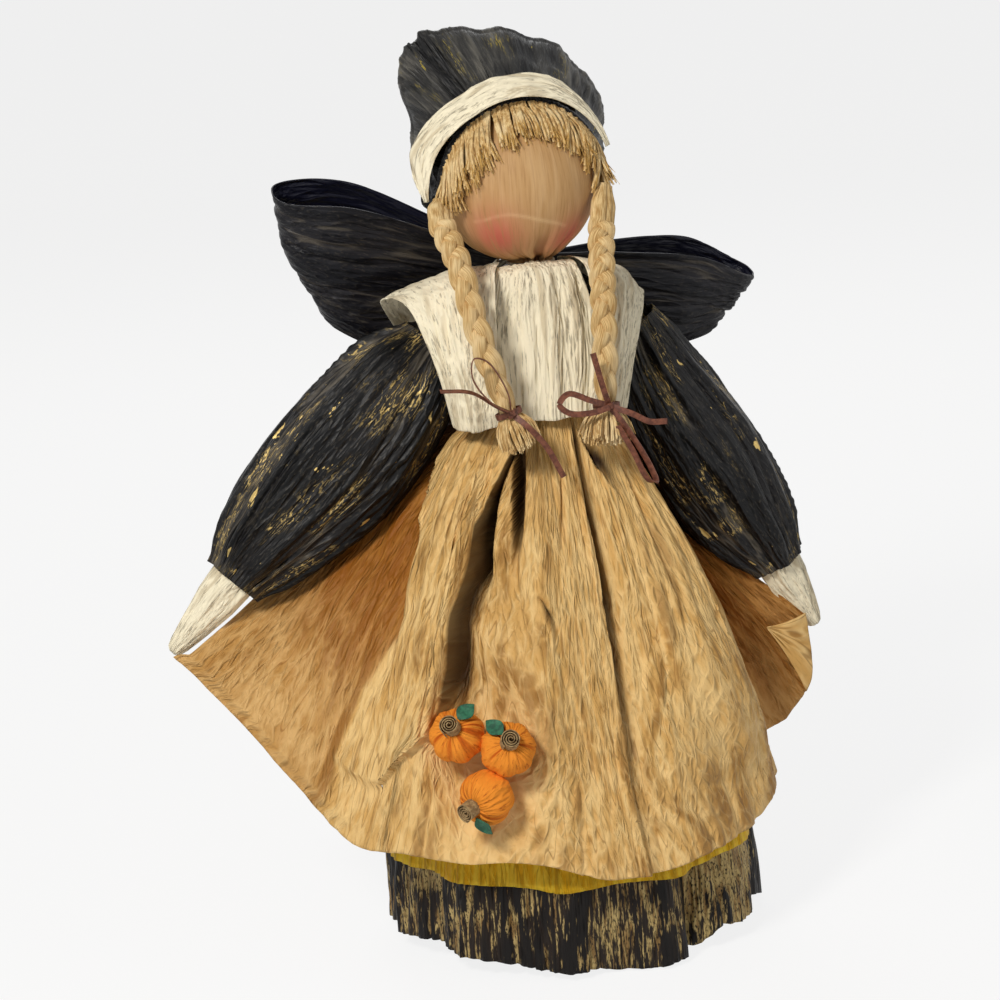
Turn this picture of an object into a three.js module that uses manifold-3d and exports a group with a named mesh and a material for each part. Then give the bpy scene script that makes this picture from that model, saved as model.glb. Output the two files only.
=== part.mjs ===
// Faceless paper doll in a bonnet that holds out the corners of its apron.
// Millimetres, +Z up, front of the doll toward -Y, its own right side toward -X.
import * as THREE from "three";
import { mergeVertices } from "three/addons/utils/BufferGeometryUtils.js";
import createManifold from "manifold-3d";

const wasm = await createManifold();
wasm.setup();

// Paper and fits
const paper = 1.4; // drawn thickness of a paper layer
const gap = 0.4; // clearance between pieces that touch
const layerPitch = 2.3; // radial distance from one skirt layer to the next

// Standing core
const coneBaseRadius = 49.5;
const coneTopRadius = 14;
const coneHeight = 229;
const dowelRadius = 3.2;
const dowelDepth = 55; // length of dowel in the cone
const wireRadius = 0.9;

// Body
const waistRadius = 24;
const chestHalfWidth = 36;
const chestHalfDepth = 26;
const bodiceHeight = 68;
const shoulderRise = 37.6; // from the bottom of the bodice
const shoulderHalfSpan = 45;
const shoulderDepth = 5.5; // the arms hang this far behind the dowel axis

// Skirts
const hemRadius = 79.5;
const fluteCount = 11;
const fluteDepth = 2.8;
const hemLean = 5; // the hems stand out this much further on the doll's left
const overskirtHem = 40; // height of its lower edge

// Head
const headRadius = 34;
const headPaper = 1.2;
const headShift = -3.2; // the head sits to the doll's right of the neck
const neckRadius = 9;
const headTurningGap = 0.5;

// Hair and bonnet
const bandInnerRadius = 38.5;
const bandOuterRadius = 47;
const bonnetShift = -1.2; // the bonnet is pulled down toward the doll's right
const plaitSwing = 3.3; // sideways reach of a strand in the plait
const plaitStrandHalfWidth = 2.9;
const plaitStrandHalfDepth = 2.3;
const plaitTurns = 3;
const fringeStrands = 50;
const tuftStrands = 19;
const ribbonWidth = 3.2;
const ribbonThickness = 0.7;

// Arms
const sleeveLength = 133;
const rightSleevePuff = 29; // half width of the sleeve at its fullest
const leftSleevePuff = 24;
const sleeveHalfDepth = 20;
const rightArmAngle = 135.6; // degrees from +X toward the floor
const leftArmAngle = 62;
const wristRadius = 11;
const rightHandLength = 40;
const leftHandLength = 36;

// Bow and trim, each bow loop reaching out from the knot
const bowKnotHalf = 9;
const rightBowSpan = 98;
const rightBowRise = 27;
const rightBowHalfWidth = 32;
const leftBowSpan = 106;
const leftBowRise = -16.4;
const leftBowHalfWidth = 24;
const bowSetBack = 10.4; // the tips lie this far behind the knot
const pumpkinRadius = 11.5;
const stemRadius = 4.2;
const stemLength = 4.6;
const leafLength = 10;

// Heights that follow
const bodiceBottom = coneHeight + gap;
const neckHeight = bodiceBottom + bodiceHeight;
const shoulderHeight = bodiceBottom + shoulderRise;
const headCentre = new THREE.Vector3(headShift, 0, neckHeight + headRadius + 2.6);
const waistTop = bodiceBottom + 8;

const degrees = Math.PI / 180;
const point = (x, y, z) => new THREE.Vector3(x, y, z);

// Point on the axis of an arm, at a distance from its shoulder
const armPoint = (sign, angle, along) => point(
  sign * shoulderHalfSpan + along * Math.cos(angle * degrees),
  shoulderDepth,
  shoulderHeight - along * Math.sin(angle * degrees),
);
const handStart = sleeveLength + gap;
const rightHandTip = armPoint(-1, rightArmAngle, handStart + rightHandLength);
const leftHandTip = armPoint(1, leftArmAngle, handStart + leftHandLength);

// Closed surface from shared points, turned so that its faces look outward
function closedSurface(points, faces) {
  let volume = 0;
  for (let i = 0; i < faces.length; i += 3) {
    const [a, b, c] = [points[faces[i]], points[faces[i + 1]], points[faces[i + 2]]];
    volume += a.dot(b.clone().cross(c));
  }
  const geometry = new THREE.BufferGeometry().setFromPoints(points);
  geometry.setIndex(volume < 0 ? faces.slice().reverse() : faces);
  return geometry;
}

// Layer of paper: at(u, v) is the middle of the layer, with u and v from 0 to 1
function sheet(at, columns, rows, thickness, isRing = false) {
  const across = isRing ? columns : columns + 1;
  const down = rows + 1;
  const points = [];
  const faces = [];
  const step = 0.01;
  for (const side of [0.5, -0.5]) {
    for (let i = 0; i < across; i += 1) {
      for (let j = 0; j < down; j += 1) {
        const u = i / columns;
        const v = j / rows;
        const u0 = isRing ? u - step : Math.max(0, u - step);
        const u1 = isRing ? u + step : Math.min(1, u + step);
        const alongU = at(u1, v).sub(at(u0, v));
        const alongV = at(u, Math.min(1, v + step)).sub(at(u, Math.max(0, v - step)));
        const normal = alongU.cross(alongV).normalize();
        points.push(at(u, v).addScaledVector(normal, side * thickness));
      }
    }
  }
  const other = across * down;
  const quad = (a, b, c, d) => faces.push(a, b, c, a, c, d);
  for (let i = 0; i < columns; i += 1) {
    const here = i * down;
    const next = ((i + 1) % across) * down;
    for (let j = 0; j < rows; j += 1) {
      quad(here + j, next + j, next + j + 1, here + j + 1);
      quad(other + here + j, other + here + j + 1, other + next + j + 1, other + next + j);
    }
    quad(here, other + here, other + next, next);
    quad(here + rows, next + rows, other + next + rows, other + here + rows);
  }
  if (!isRing) {
    const last = columns * down;
    for (let j = 0; j < rows; j += 1) {
      quad(j, j + 1, other + j + 1, other + j);
      quad(last + j, other + last + j, other + last + j + 1, last + j + 1);
    }
  }
  return closedSurface(points, faces);
}

// Solid through a row of rings that have the same number of points
function loft(rings) {
  const count = rings[0].length;
  const points = rings.flat();
  const faces = [];
  for (let r = 0; r < rings.length - 1; r += 1) {
    for (let k = 0; k < count; k += 1) {
      const a = r * count + k;
      const b = r * count + ((k + 1) % count);
      faces.push(a, b, b + count, a, b + count, a + count);
    }
  }
  const centreOf = (ring) => ring.reduce((sum, p) => sum.add(p), point(0, 0, 0)).divideScalar(count);
  const start = points.push(centreOf(rings[0])) - 1;
  const end = points.push(centreOf(rings[rings.length - 1])) - 1;
  const top = (rings.length - 1) * count;
  for (let k = 0; k < count; k += 1) {
    const next = (k + 1) % count;
    faces.push(start, next, k, end, top + k, top + next);
  }
  return closedSurface(points, faces);
}

// Strip or strand along a row of points; across gives the direction of its width
function strand(path, across, width, thickness, sides = 4) {
  const rings = path.map((centre, i) => {
    const before = path[Math.max(0, i - 1)];
    const after = path[Math.min(path.length - 1, i + 1)];
    const along = after.clone().sub(before).normalize();
    const side = across.clone().addScaledVector(along, -across.dot(along)).normalize();
    const face = along.clone().cross(side);
    const size = typeof width === "function" ? width(i / (path.length - 1)) : width;
    return Array.from({ length: sides }, (_, k) => {
      const turn = (2 * Math.PI * (k + 0.5)) / sides;
      const reach = sides === 4 ? Math.SQRT1_2 : 0.5;
      return centre.clone().addScaledVector(side, size * reach * Math.cos(turn))
        .addScaledVector(face, thickness * reach * Math.sin(turn));
    });
  });
  return loft(rings);
}

function toSolid(geometry) {
  const bare = new THREE.BufferGeometry();
  bare.setAttribute("position", geometry.getAttribute("position").clone());
  if (geometry.index) {
    bare.setIndex(geometry.index.clone());
  }
  const merged = mergeVertices(bare, 1e-4);
  return new wasm.Manifold(new wasm.Mesh({
    numProp: 3,
    vertProperties: new Float32Array(merged.getAttribute("position").array),
    triVerts: new Uint32Array(merged.index.array),
  }));
}

function toGeometry(solid) {
  const mesh = solid.getMesh();
  const geometry = new THREE.BufferGeometry();
  geometry.setAttribute("position", new THREE.BufferAttribute(mesh.vertProperties, 3));
  geometry.setIndex(new THREE.BufferAttribute(mesh.triVerts, 1));
  return geometry;
}

const joined = (pieces) => toGeometry(wasm.Manifold.union(pieces.map(toSolid)));
const bored = (piece, tools) => toGeometry(tools.reduce((solid, tool) => solid.subtract(toSolid(tool)), toSolid(piece)));

function rod(radius, from, to, sides = 12) {
  const length = from.distanceTo(to);
  const geometry = new THREE.CylinderGeometry(radius, radius, length, sides);
  const turn = new THREE.Quaternion().setFromUnitVectors(point(0, 1, 0), to.clone().sub(from).normalize());
  const middle = from.clone().add(to).multiplyScalar(0.5);
  return geometry.applyMatrix4(new THREE.Matrix4().compose(middle, turn, point(1, 1, 1)));
}

function revolved(profile, sides) {
  const outline = profile.map(([radius, height]) => new THREE.Vector2(radius, height));
  return new THREE.LatheGeometry(outline, sides).rotateX(Math.PI / 2);
}

const doll = new THREE.Group();
doll.name = "paper_doll";

function add(parent, name, geometry, colour, roughness, metalness = 0) {
  const material = new THREE.MeshStandardMaterial({ color: colour, roughness, metalness });
  material.name = `${name}_finish`;
  const mesh = new THREE.Mesh(geometry, material);
  mesh.name = name;
  parent.add(mesh);
  return mesh;
}

const black = 0x1d1b1c;
const cream = 0xe3dac4;
const tan = 0xb98f55;
const straw = 0xd3b078;
const mustard = 0xb89418;
const brown = 0x74462f;

// Standing core: a foam cone, a dowel up into the head and a wire across the shoulders
const dowelBottom = coneHeight - dowelDepth;
const dowelTop = headCentre.z + 0.35 * headRadius;
const boreRadius = dowelRadius + gap;
add(doll, "foam_cone", revolved([
  [0, 0],
  [coneBaseRadius, 0],
  [coneTopRadius, coneHeight],
  [boreRadius, coneHeight],
  [boreRadius, dowelBottom - gap],
  [0, dowelBottom - gap],
], 32), 0xf2f0ea, 0.9);
add(doll, "neck_dowel", rod(dowelRadius, point(0, 0, dowelBottom), point(0, 0, dowelTop), 16), 0xc9a878, 0.6);

const bodiceRows = [
  [0, waistRadius, waistRadius],
  [0.16, waistRadius, waistRadius],
  [0.42, 0.88 * chestHalfWidth, 0.96 * chestHalfDepth],
  [0.62, chestHalfWidth, chestHalfDepth],
  [0.8, 0.92 * chestHalfWidth, 0.88 * chestHalfDepth],
  [0.93, 0.55 * chestHalfWidth, 0.62 * chestHalfDepth],
  [1, neckRadius + 2, neckRadius + 2],
];
const bodice = loft(bodiceRows.map(([rise, wide, deep]) => Array.from({ length: 28 }, (_, k) => {
  const turn = (2 * Math.PI * k) / 28;
  return point(wide * Math.sin(turn), deep * Math.cos(turn), bodiceBottom + rise * bodiceHeight);
})));
const wireHalf = shoulderHalfSpan - wireRadius;
const shoulderLine = (half) => [point(-half, shoulderDepth, shoulderHeight), point(half, shoulderDepth, shoulderHeight)];
add(doll, "bodice", bored(bodice, [
  rod(boreRadius, point(0, 0, bodiceBottom - 5), point(0, 0, neckHeight + 5), 16),
  rod(wireRadius + gap, ...shoulderLine(2 * shoulderHalfSpan), 8),
]), black, 0.75);
add(doll, "shoulder_wire", rod(wireRadius, ...shoulderLine(wireHalf), 8), 0x8f8f8c, 0.4, 0.8);

// Skirts: two fluted bells, one over the other, gathered on the waist of the bodice
const bell = new THREE.SplineCurve([
  new THREE.Vector2(0, 1),
  new THREE.Vector2(0.16, 0.985),
  new THREE.Vector2(0.36, 0.84),
  new THREE.Vector2(0.58, 0.6),
  new THREE.Vector2(0.8, 0.26),
  new THREE.Vector2(0.93, 0.03),
  new THREE.Vector2(1, 0),
]);
const skirtTopRadius = waistRadius + gap + paper / 2;
function skirtPoint(turn, height, pitch) {
  const rise = height / waistTop;
  const spread = bell.getPoint(rise).y;
  const flute = fluteDepth * Math.max(0, 1 - 1.15 * rise);
  const wave = Math.cos(fluteCount * turn) + 0.35 * Math.sin(5 * turn + 1);
  const lean = (hemLean * flute * Math.max(0, Math.sin(turn))) / fluteDepth;
  const radius = skirtTopRadius + (hemRadius - skirtTopRadius) * spread + flute * wave + lean + pitch;
  return point(radius * Math.sin(turn), radius * Math.cos(turn), height);
}
// Heights of the rows that both skirts share
const skirtLevels = [overskirtHem, ...[0.36, 0.58, 0.8, 0.93, 1].map((rise) => rise * waistTop)];
function skirt(levels, pitch) {
  const last = levels.length - 1;
  return sheet((u, v) => {
    const at = Math.min(v * last, last - 1e-6);
    const low = Math.floor(at);
    const height = levels[low] + (levels[low + 1] - levels[low]) * (at - low);
    return skirtPoint(2 * Math.PI * u, height, pitch);
  }, 4 * fluteCount, last, paper, true);
}
add(doll, "underskirt", skirt([gap, ...skirtLevels], 0), black, 0.7);
add(doll, "overskirt", skirt(skirtLevels, layerPitch), mustard, 0.75);

// Apron: ribs run from the gathered waist out to the edge, from the right hand round to the left hand.
// Each rib is waist angle, two points on the way and a point on the edge. The corners follow the hands.
const apronWaistRadius = skirtTopRadius + layerPitch + paper + gap;
const apronTop = waistTop + 0.6;
const bellScale = hemRadius / 79.5;
const byRightHand = (x, y, z) => point(x, y, z).add(rightHandTip);
const byLeftHand = (x, y, z) => point(x, y, z).add(leftHandTip);
const apronRibs = [
  [-92, [-62, 24, 210], byRightHand(53, 12.5, 26.3), byRightHand(-1, -13.5, -2.7)],
  [-84, [-62, 8, 203], byRightHand(59, -5.5, 11.3), byRightHand(18, -21.5, -23.7)],
  [-76, [-61, -8, 197], byRightHand(71, -25.5, -4.7), byRightHand(42, -39.5, -56.7)],
  [-68, [-58, -24, 192], [-86, -42, 130], [-112, -50, 68]],
  [-58, [-54, -52, 188], [-76, -68, 134], [-92, -70, 66.5]],
  [-45, [-42, -48, 176], [-59, -62, 124], [-68, -82, 62]],
  [-27, [-24, -67, 172], [-30, -85, 110], [-38, -94, 60]],
  [-9, [-8, -62, 172], [-10, -81, 108], [-8, -96, 49.5]],
  [10, [6, -63, 165], [6, -82, 100], [10, -96, 49.5]],
  [28, [23, -59, 165], [30, -80, 105], [35, -90, 52.5]],
  [45, [42, -52, 168], [60, -64, 110], [68, -63, 53]],
  [58, [54, -40, 168], [77, -42, 108], [88, -36, 63]],
  [68, [50, -14, 172], [75, -10, 118], [92, -7, 71]],
  [76, [46, 0, 182], [80, 8, 130], [109, 3, 78]],
  [82, [44, 9, 190], byLeftHand(-43.5, -1.5, 21.6), byLeftHand(-7, -4.5, -26.4)],
  [87, [44, 13, 194], byLeftHand(-42.5, -0.5, 28.6), byLeftHand(-5.5, -5, -11.4)],
  [92, [44, 16, 197], byLeftHand(-42.5, 0.5, 35.6), byLeftHand(-6, -6, 7.6)],
].map(([turn, ...steps]) => new THREE.CatmullRomCurve3([
  point(apronWaistRadius * Math.sin(turn * degrees), -apronWaistRadius * Math.cos(turn * degrees), apronTop),
  ...steps.map((step) => {
    if (step.isVector3) {
      return step;
    }
    const [x, y, z] = step;
    return point(x * bellScale, y * bellScale, (z * apronTop) / 238);
  }),
]));
function apronPoint(rib, drop) {
  const row = new THREE.CatmullRomCurve3(apronRibs.map((curve) => curve.getPoint(drop)));
  const spot = row.getPoint(rib / (apronRibs.length - 1));
  const ease = Math.sin(Math.PI * Math.min(1, drop / 0.6));
  const pleat = 1.6 * ease * Math.sin(2 * Math.PI * rib * 1.5);
  const outward = point(spot.x, spot.y, 0).normalize();
  return spot.addScaledVector(outward, pleat);
}
// One panel of the apron between two ribs; the seams beside it stay open by the gap
function apronPanel(first, last, columns, seamFirst, seamLast) {
  return sheet((u, v) => {
    const pitchAt = (rib) => apronPoint(rib - 0.02, v).distanceTo(apronPoint(rib + 0.02, v)) / 0.04;
    const from = seamFirst ? first + (0.6 * gap) / pitchAt(first) : first;
    const to = seamLast ? last - (0.6 * gap) / pitchAt(last) : last;
    return apronPoint(from + (to - from) * u, v);
  }, columns, 7, paper);
}
const rightSeam = 3.4;
const leftSeam = 11.6;
add(doll, "apron_right_wing", apronPanel(0, rightSeam, 12, false, true), tan, 0.6);
add(doll, "apron_front", apronPanel(rightSeam, leftSeam, 30, true, true), tan, 0.6);
add(doll, "apron_left_wing", apronPanel(leftSeam, 16, 14, true, false), tan, 0.6);
const tieRadius = 0.8;
const tieReach = apronWaistRadius + paper / 2 + gap + tieRadius + 2.2; // the gathers lean out below it
const ring = (reach, thickness, height) => new THREE.TorusGeometry(reach, thickness, 5, 24).translate(0, 0, height);
add(doll, "waist_tie", ring(tieReach, tieRadius, apronTop - tieRadius), 0xd9d2c0, 0.7);

// Collar: a bib, a lappet over each shoulder and a piece at the nape
const collarPoint = (x, y, below) => point(x, y, neckHeight - below);
function panel(edges, pleats, depth) {
  const curves = edges.map((edge) => new THREE.CatmullRomCurve3(edge.map(([x, y, below]) => collarPoint(x, y, below))));
  return (u, v) => {
    const row = new THREE.CatmullRomCurve3(curves.map((curve) => curve.getPoint(v)));
    const spot = row.getPoint(u);
    return spot.addScaledVector(point(spot.x, spot.y, 0).normalize(), depth * Math.sin(2 * Math.PI * pleats * u));
  };
}
const bib = panel([
  [[-18, -10, -2], [-20, -16, -0.5], [-25, -22, 20], [-26, -31.5, 57]],
  [[-2, -12.5, -3.2], [-2, -20, -1.5], [-2, -26.6, 20], [-6, -37.5, 61]],
  [[15, -11, -2], [16, -17, -0.5], [20, -23.5, 20], [15, -36, 59]],
], 4, 0.7);
add(doll, "collar_bib", sheet(bib, 16, 6, paper), cream, 0.8);
const rightLappet = panel([
  [[-56, 24, 26], [-66, 5, 9], [-60, -16, 9], [-52, -28, 34], [-45, -23, 62]],
  [[-38, 24, 20], [-40, 4, 1], [-42, -24, 2], [-42, -36, 32], [-40, -33, 63]],
  [[-21, 23, 11], [-13.5, 3, -1.6], [-22, -22, -1.5], [-28, -39, 30], [-30, -41, 60]],
], 2, 0.7);
add(doll, "collar_right_lappet", sheet(rightLappet, 8, 9, paper), cream, 0.8);
const leftLappet = panel([
  [[21, 23, 11], [13.5, 3, -1.6], [18, -22, -1], [15, -39, 30], [10, -42, 57]],
  [[36, 24, 20], [36, 4, 5], [34, -23, 6], [27, -36, 32], [20, -41, 61]],
  [[48, 23, 28], [51, 5, 17], [45, -16, 19], [37, -28, 36], [29, -35, 60]],
], 2, 0.7);
add(doll, "collar_left_lappet", sheet(leftLappet, 8, 9, paper), cream, 0.8);
const nape = panel([
  [[-12, 12, -0.5], [-18, 23, 8]],
  [[0, 13, -0.5], [0, 24, 7]],
  [[12, 12, -0.5], [18, 23, 8]],
], 2, 0.6);
add(doll, "collar_back", sheet(nape, 10, 3, paper), cream, 0.8);

// Back bow: each loop is a ribbon of paper that runs out from the knot, turns and comes back
const backOfBodice = chestHalfDepth;
const bowCentre = point(0, backOfBodice - 1.4 + gap + 0.8 * bowKnotHalf, neckHeight - 17); // where the back slopes in
const knot = new THREE.SphereGeometry(bowKnotHalf, 14, 9).scale(1, 0.8, 1.5).rotateX(Math.PI / 2);
add(doll, "bow_knot", knot.rotateX(-Math.PI / 2).translate(bowCentre.x, bowCentre.y, bowCentre.z), black, 0.7);
function bowLoop(tip, across, reaches, halfWidth, thickness) {
  const out = tip.clone().sub(bowCentre);
  const length = out.length();
  out.normalize();
  const width = across.clone().addScaledVector(out, -across.dot(out)).normalize();
  const back = out.clone().cross(width).normalize();
  const edge = new THREE.SplineCurve(reaches.map(([along, half]) => new THREE.Vector2(along, half * halfWidth)));
  return sheet((u, v) => {
    const side = u < 0.5 ? -1 : 1;
    const along = Math.sin(Math.PI * u);
    const open = side * thickness * Math.pow(Math.abs(Math.cos(Math.PI * u)), 0.7) * Math.pow(along, 1.1);
    const start = bowKnotHalf + gap + 0.1;
    const half = edge.getPoint(along).y;
    const lean = 0.42 * half * (2 * v - 1);
    return bowCentre.clone()
      .addScaledVector(out, start + (length - start) * along + lean * along)
      .addScaledVector(width, half * (2 * v - 1))
      .addScaledVector(back, open + side * (paper / 2 + 0.4) * (1 - along));
  }, 20, 3, paper);
}
const rightBowTip = bowCentre.clone().add(point(-rightBowSpan, bowSetBack, rightBowRise));
const leftBowTip = bowCentre.clone().add(point(leftBowSpan, bowSetBack, leftBowRise));
add(doll, "bow_right_loop", bowLoop(rightBowTip, point(-0.14, -0.3, 1),
  [[0, 0.6], [0.35, 0.8], [0.72, 1], [1, 0.84]], rightBowHalfWidth, 20), black, 0.6);
add(doll, "bow_left_loop", bowLoop(leftBowTip, point(0.3, -0.3, 1),
  [[0, 0.8], [0.35, 0.98], [0.72, 1], [1, 0.56]], leftBowHalfWidth, 18), black, 0.6);

// Pumpkins: ribbed balls glued to the apron, each with a rolled stem and a leaf
function pumpkinBody() {
  const rows = [0.22, 0.6, 1.05, 1.5, 1.95, 2.4, 2.85];
  return loft(rows.map((tilt) => Array.from({ length: 18 }, (_, k) => {
    const turn = (2 * Math.PI * k) / 18;
    const reach = pumpkinRadius * Math.sin(tilt) * (k % 2 ? 1 : 0.92);
    return point(reach * Math.cos(turn), reach * Math.sin(turn), -0.88 * pumpkinRadius * Math.cos(tilt));
  })));
}
const leafOutline = new THREE.Shape();
leafOutline.moveTo(0, 0);
leafOutline.bezierCurveTo(4, 2, 5, 0.55 * leafLength, 0, leafLength);
leafOutline.bezierCurveTo(-5, 0.55 * leafLength, -4, 2, 0, 0);
const leafGeometry = () => new THREE.ExtrudeGeometry(leafOutline, { depth: 0.8, bevelEnabled: false, curveSegments: 4 });
function apronSeat(rib, drop) {
  const across = apronPoint(rib + 0.15, drop).sub(apronPoint(rib - 0.15, drop));
  const down = apronPoint(rib, drop + 0.02).sub(apronPoint(rib, drop - 0.02));
  const normal = down.cross(across).normalize();
  const spot = apronPoint(rib, drop);
  return spot.addScaledVector(normal.y > 0 ? normal.negate() : normal, 0.92 * pumpkinRadius + paper / 2 + gap);
}
const pumpkins = [
  [4.5, 0.738, point(-0.4, -0.7, 0.6), 200],
  [5.66, 0.7, point(-0.1, -0.8, 0.55), 160],
  [5.4, 0.842, point(-0.8, -0.55, -0.2), 250],
];
pumpkins.forEach(([rib, drop, axis, leafTurn], i) => {
  const holder = new THREE.Group();
  holder.name = `pumpkin_set_${i + 1}`;
  holder.position.copy(apronSeat(rib, drop));
  holder.quaternion.setFromUnitVectors(point(0, 0, 1), axis.normalize());
  doll.add(holder);
  add(holder, `pumpkin_${i + 1}`, pumpkinBody(), 0xdc7f28, 0.7);
  const top = 0.88 * pumpkinRadius * Math.cos(0.29) + gap;
  const stem = new THREE.CylinderGeometry(stemRadius, stemRadius, stemLength, 10).rotateX(Math.PI / 2)
    .translate(0, 0, top + stemLength / 2);
  add(holder, `pumpkin_stem_${i + 1}`, stem, 0xa98a5c, 0.7);
  const leaf = leafGeometry().translate(0, stemRadius + gap, top - 0.7).rotateX(-0.12).rotateZ(leafTurn * degrees);
  add(holder, `pumpkin_leaf_${i + 1}`, leaf, 0x2f6b4f, 0.6);
});

// Head: a ball on the dowel, covered by paper that is drawn down and tied at the neck
const ball = new THREE.SphereGeometry(headRadius - headPaper - gap, 18, 10);
ball.translate(headCentre.x, headCentre.y, headCentre.z);
const dowelClearance = rod(dowelRadius + headTurningGap, point(0, 0, neckHeight - 20), point(0, 0, dowelTop + gap), 16);
add(doll, "head_ball", bored(ball, [dowelClearance]), 0xf2f0ea, 0.9);
const skin = new THREE.SphereGeometry(headRadius, 26, 14).translate(headCentre.x, headCentre.y, headCentre.z);
const neckFoot = neckHeight + headTurningGap;
const neck = rod(neckRadius, point(0, 0, neckFoot), point(0, 0, headCentre.z - 0.9 * headRadius), 20);
const hollow = new THREE.SphereGeometry(headRadius - headPaper, 18, 10).translate(headCentre.x, headCentre.y, headCentre.z);
const throat = rod(neckRadius - 2, point(0, 0, neckHeight - 5), point(0, 0, headCentre.z), 20);
add(doll, "head_paper", bored(joined([skin, neck]), [hollow, throat]), 0xc39a69, 0.6);
const neckTieRadius = 0.6;
add(doll, "neck_tie", ring(neckRadius + gap + neckTieRadius, neckTieRadius, neckFoot + 1.1), 0xd9d2c0, 0.7);

// Bonnet and hair are drawn about the centre of the head
const crownGroup = new THREE.Group();
crownGroup.name = "bonnet_set";
crownGroup.position.copy(headCentre).x += bonnetShift;
doll.add(crownGroup);
const arch = (radius, turn, y) => point(radius * Math.sin(turn), y, radius * Math.cos(turn));
const bandFrom = -94 * degrees;
const bandTo = 70 * degrees;
const bandDepth = (turn) => 8 * Math.cos(turn);
// The band narrows toward its ends, sooner on the doll's left
const bandTaper = (turn) => (turn > 0
  ? 1 - 0.8 * THREE.MathUtils.smoothstep(turn, 8 * degrees, bandTo)
  : 1 - 0.5 * THREE.MathUtils.smoothstep(-turn, 35 * degrees, 90 * degrees));
const bandFront = -13;
const bandBack = -3;
const band = sheet((u, v) => {
  const turn = bandFrom + (bandTo - bandFrom) * u;
  const reach = bandTaper(turn) * v;
  const radius = bandInnerRadius + (bandOuterRadius - bandInnerRadius) * reach;
  return arch(radius, turn, bandFront + (bandBack - bandFront) * reach - bandDepth(turn));
}, 28, 2, paper);
add(crownGroup, "bonnet_band", band, cream, 0.8);

// Reach of the puffed crown by angle, highest at the doll's right
const crownReach = new THREE.SplineCurve([
  [-112, 39.5], [-76, 42.5], [-51, 52.5], [-30, 71.5], [-14, 67.5],
  [7, 62.5], [26, 59.5], [51, 54], [87, 43], [106, 42],
].map(([turn, reach]) => new THREE.Vector2(turn, reach)));
const crownRows = [
  [0, -1, 0],
  [0.5, 9, 0.7],
  [1, 19, 1],
  [0.9, 31, 1],
  [0.64, 42, 0.8],
  [0.2, 47, 0.5],
];
const crown = sheet((u, v) => {
  const spot = crownReach.getPoint(u);
  const turn = spot.x * degrees;
  const at = Math.min(crownRows.length - 1.0001, v * (crownRows.length - 1));
  const low = crownRows[Math.floor(at)];
  const high = crownRows[Math.floor(at) + 1];
  const mix = at - Math.floor(at);
  const [full, back, pleat] = low.map((value, k) => value + (high[k] - value) * mix);
  const bandEdge = bandInnerRadius + (bandOuterRadius - bandInnerRadius) * bandTaper(turn);
  const frontRadius = Math.max(bandEdge - paper - gap - 3, bandInnerRadius - 1);
  const isFront = back < crownRows[2][1];
  const radius = isFront ? frontRadius + (spot.y - frontRadius) * full : spot.y * full;
  const forward = bandDepth(turn) * Math.min(1, Math.max(0, 1 - back / 19));
  return arch(radius + 1.4 * pleat * Math.sin(14 * turn), turn, back - 4 - forward);
}, 32, 7, paper);
add(crownGroup, "bonnet_crown", crown, black, 0.7);

// Fringe: cut strands fused to a pad of hair that fills the front of the bonnet
const padFront = bandFront - 0.5;
const padBack = padFront + 3.5;
const padReach = bandInnerRadius - paper / 2 - 0.6;
const hairSide = 84 * degrees;
const padRings = Array.from({ length: 25 }, (_, i) => {
  const turn = hairSide * (i / 12 - 1);
  const inner = Math.sqrt((headRadius + gap) ** 2 - padBack ** 2) + 0.3;
  const shift = -0.4 * bandDepth(turn);
  return [
    arch(inner, turn, padFront + shift),
    arch(padReach, turn, padFront + shift),
    arch(padReach, turn, padBack + shift),
    arch(inner, turn, padBack + shift),
  ];
});
const hair = [loft(padRings)];
for (let i = 0; i < fringeStrands; i += 1) {
  const share = (i + 0.5) / fringeStrands;
  const turn = 0.95 * hairSide * (2 * share - 1);
  const wobble = Math.sin(i * 12.9898) * 0.5;
  const reach = headRadius + 2.2 + 0.5 * Math.cos(i * 7.3);
  const start = arch(padReach - 1.6, turn, padFront + 1.2 - 0.4 * bandDepth(turn));
  const onHead = (y, turnThere) => arch(Math.sqrt((reach + 0.6) ** 2 - y * y), turnThere, y);
  const end = -27.5 - 1.4 * wobble;
  const path = [start, onHead(-22.5, turn * 0.985), onHead(end, turn * 0.96 + wobble * 0.03)];
  hair.push(strand(path, arch(1, turn + Math.PI / 2, 0), (v) => 1.5 - 0.5 * v, 1, 3));
}
add(crownGroup, "fringe", joined(hair), straw, 0.8);

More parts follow.
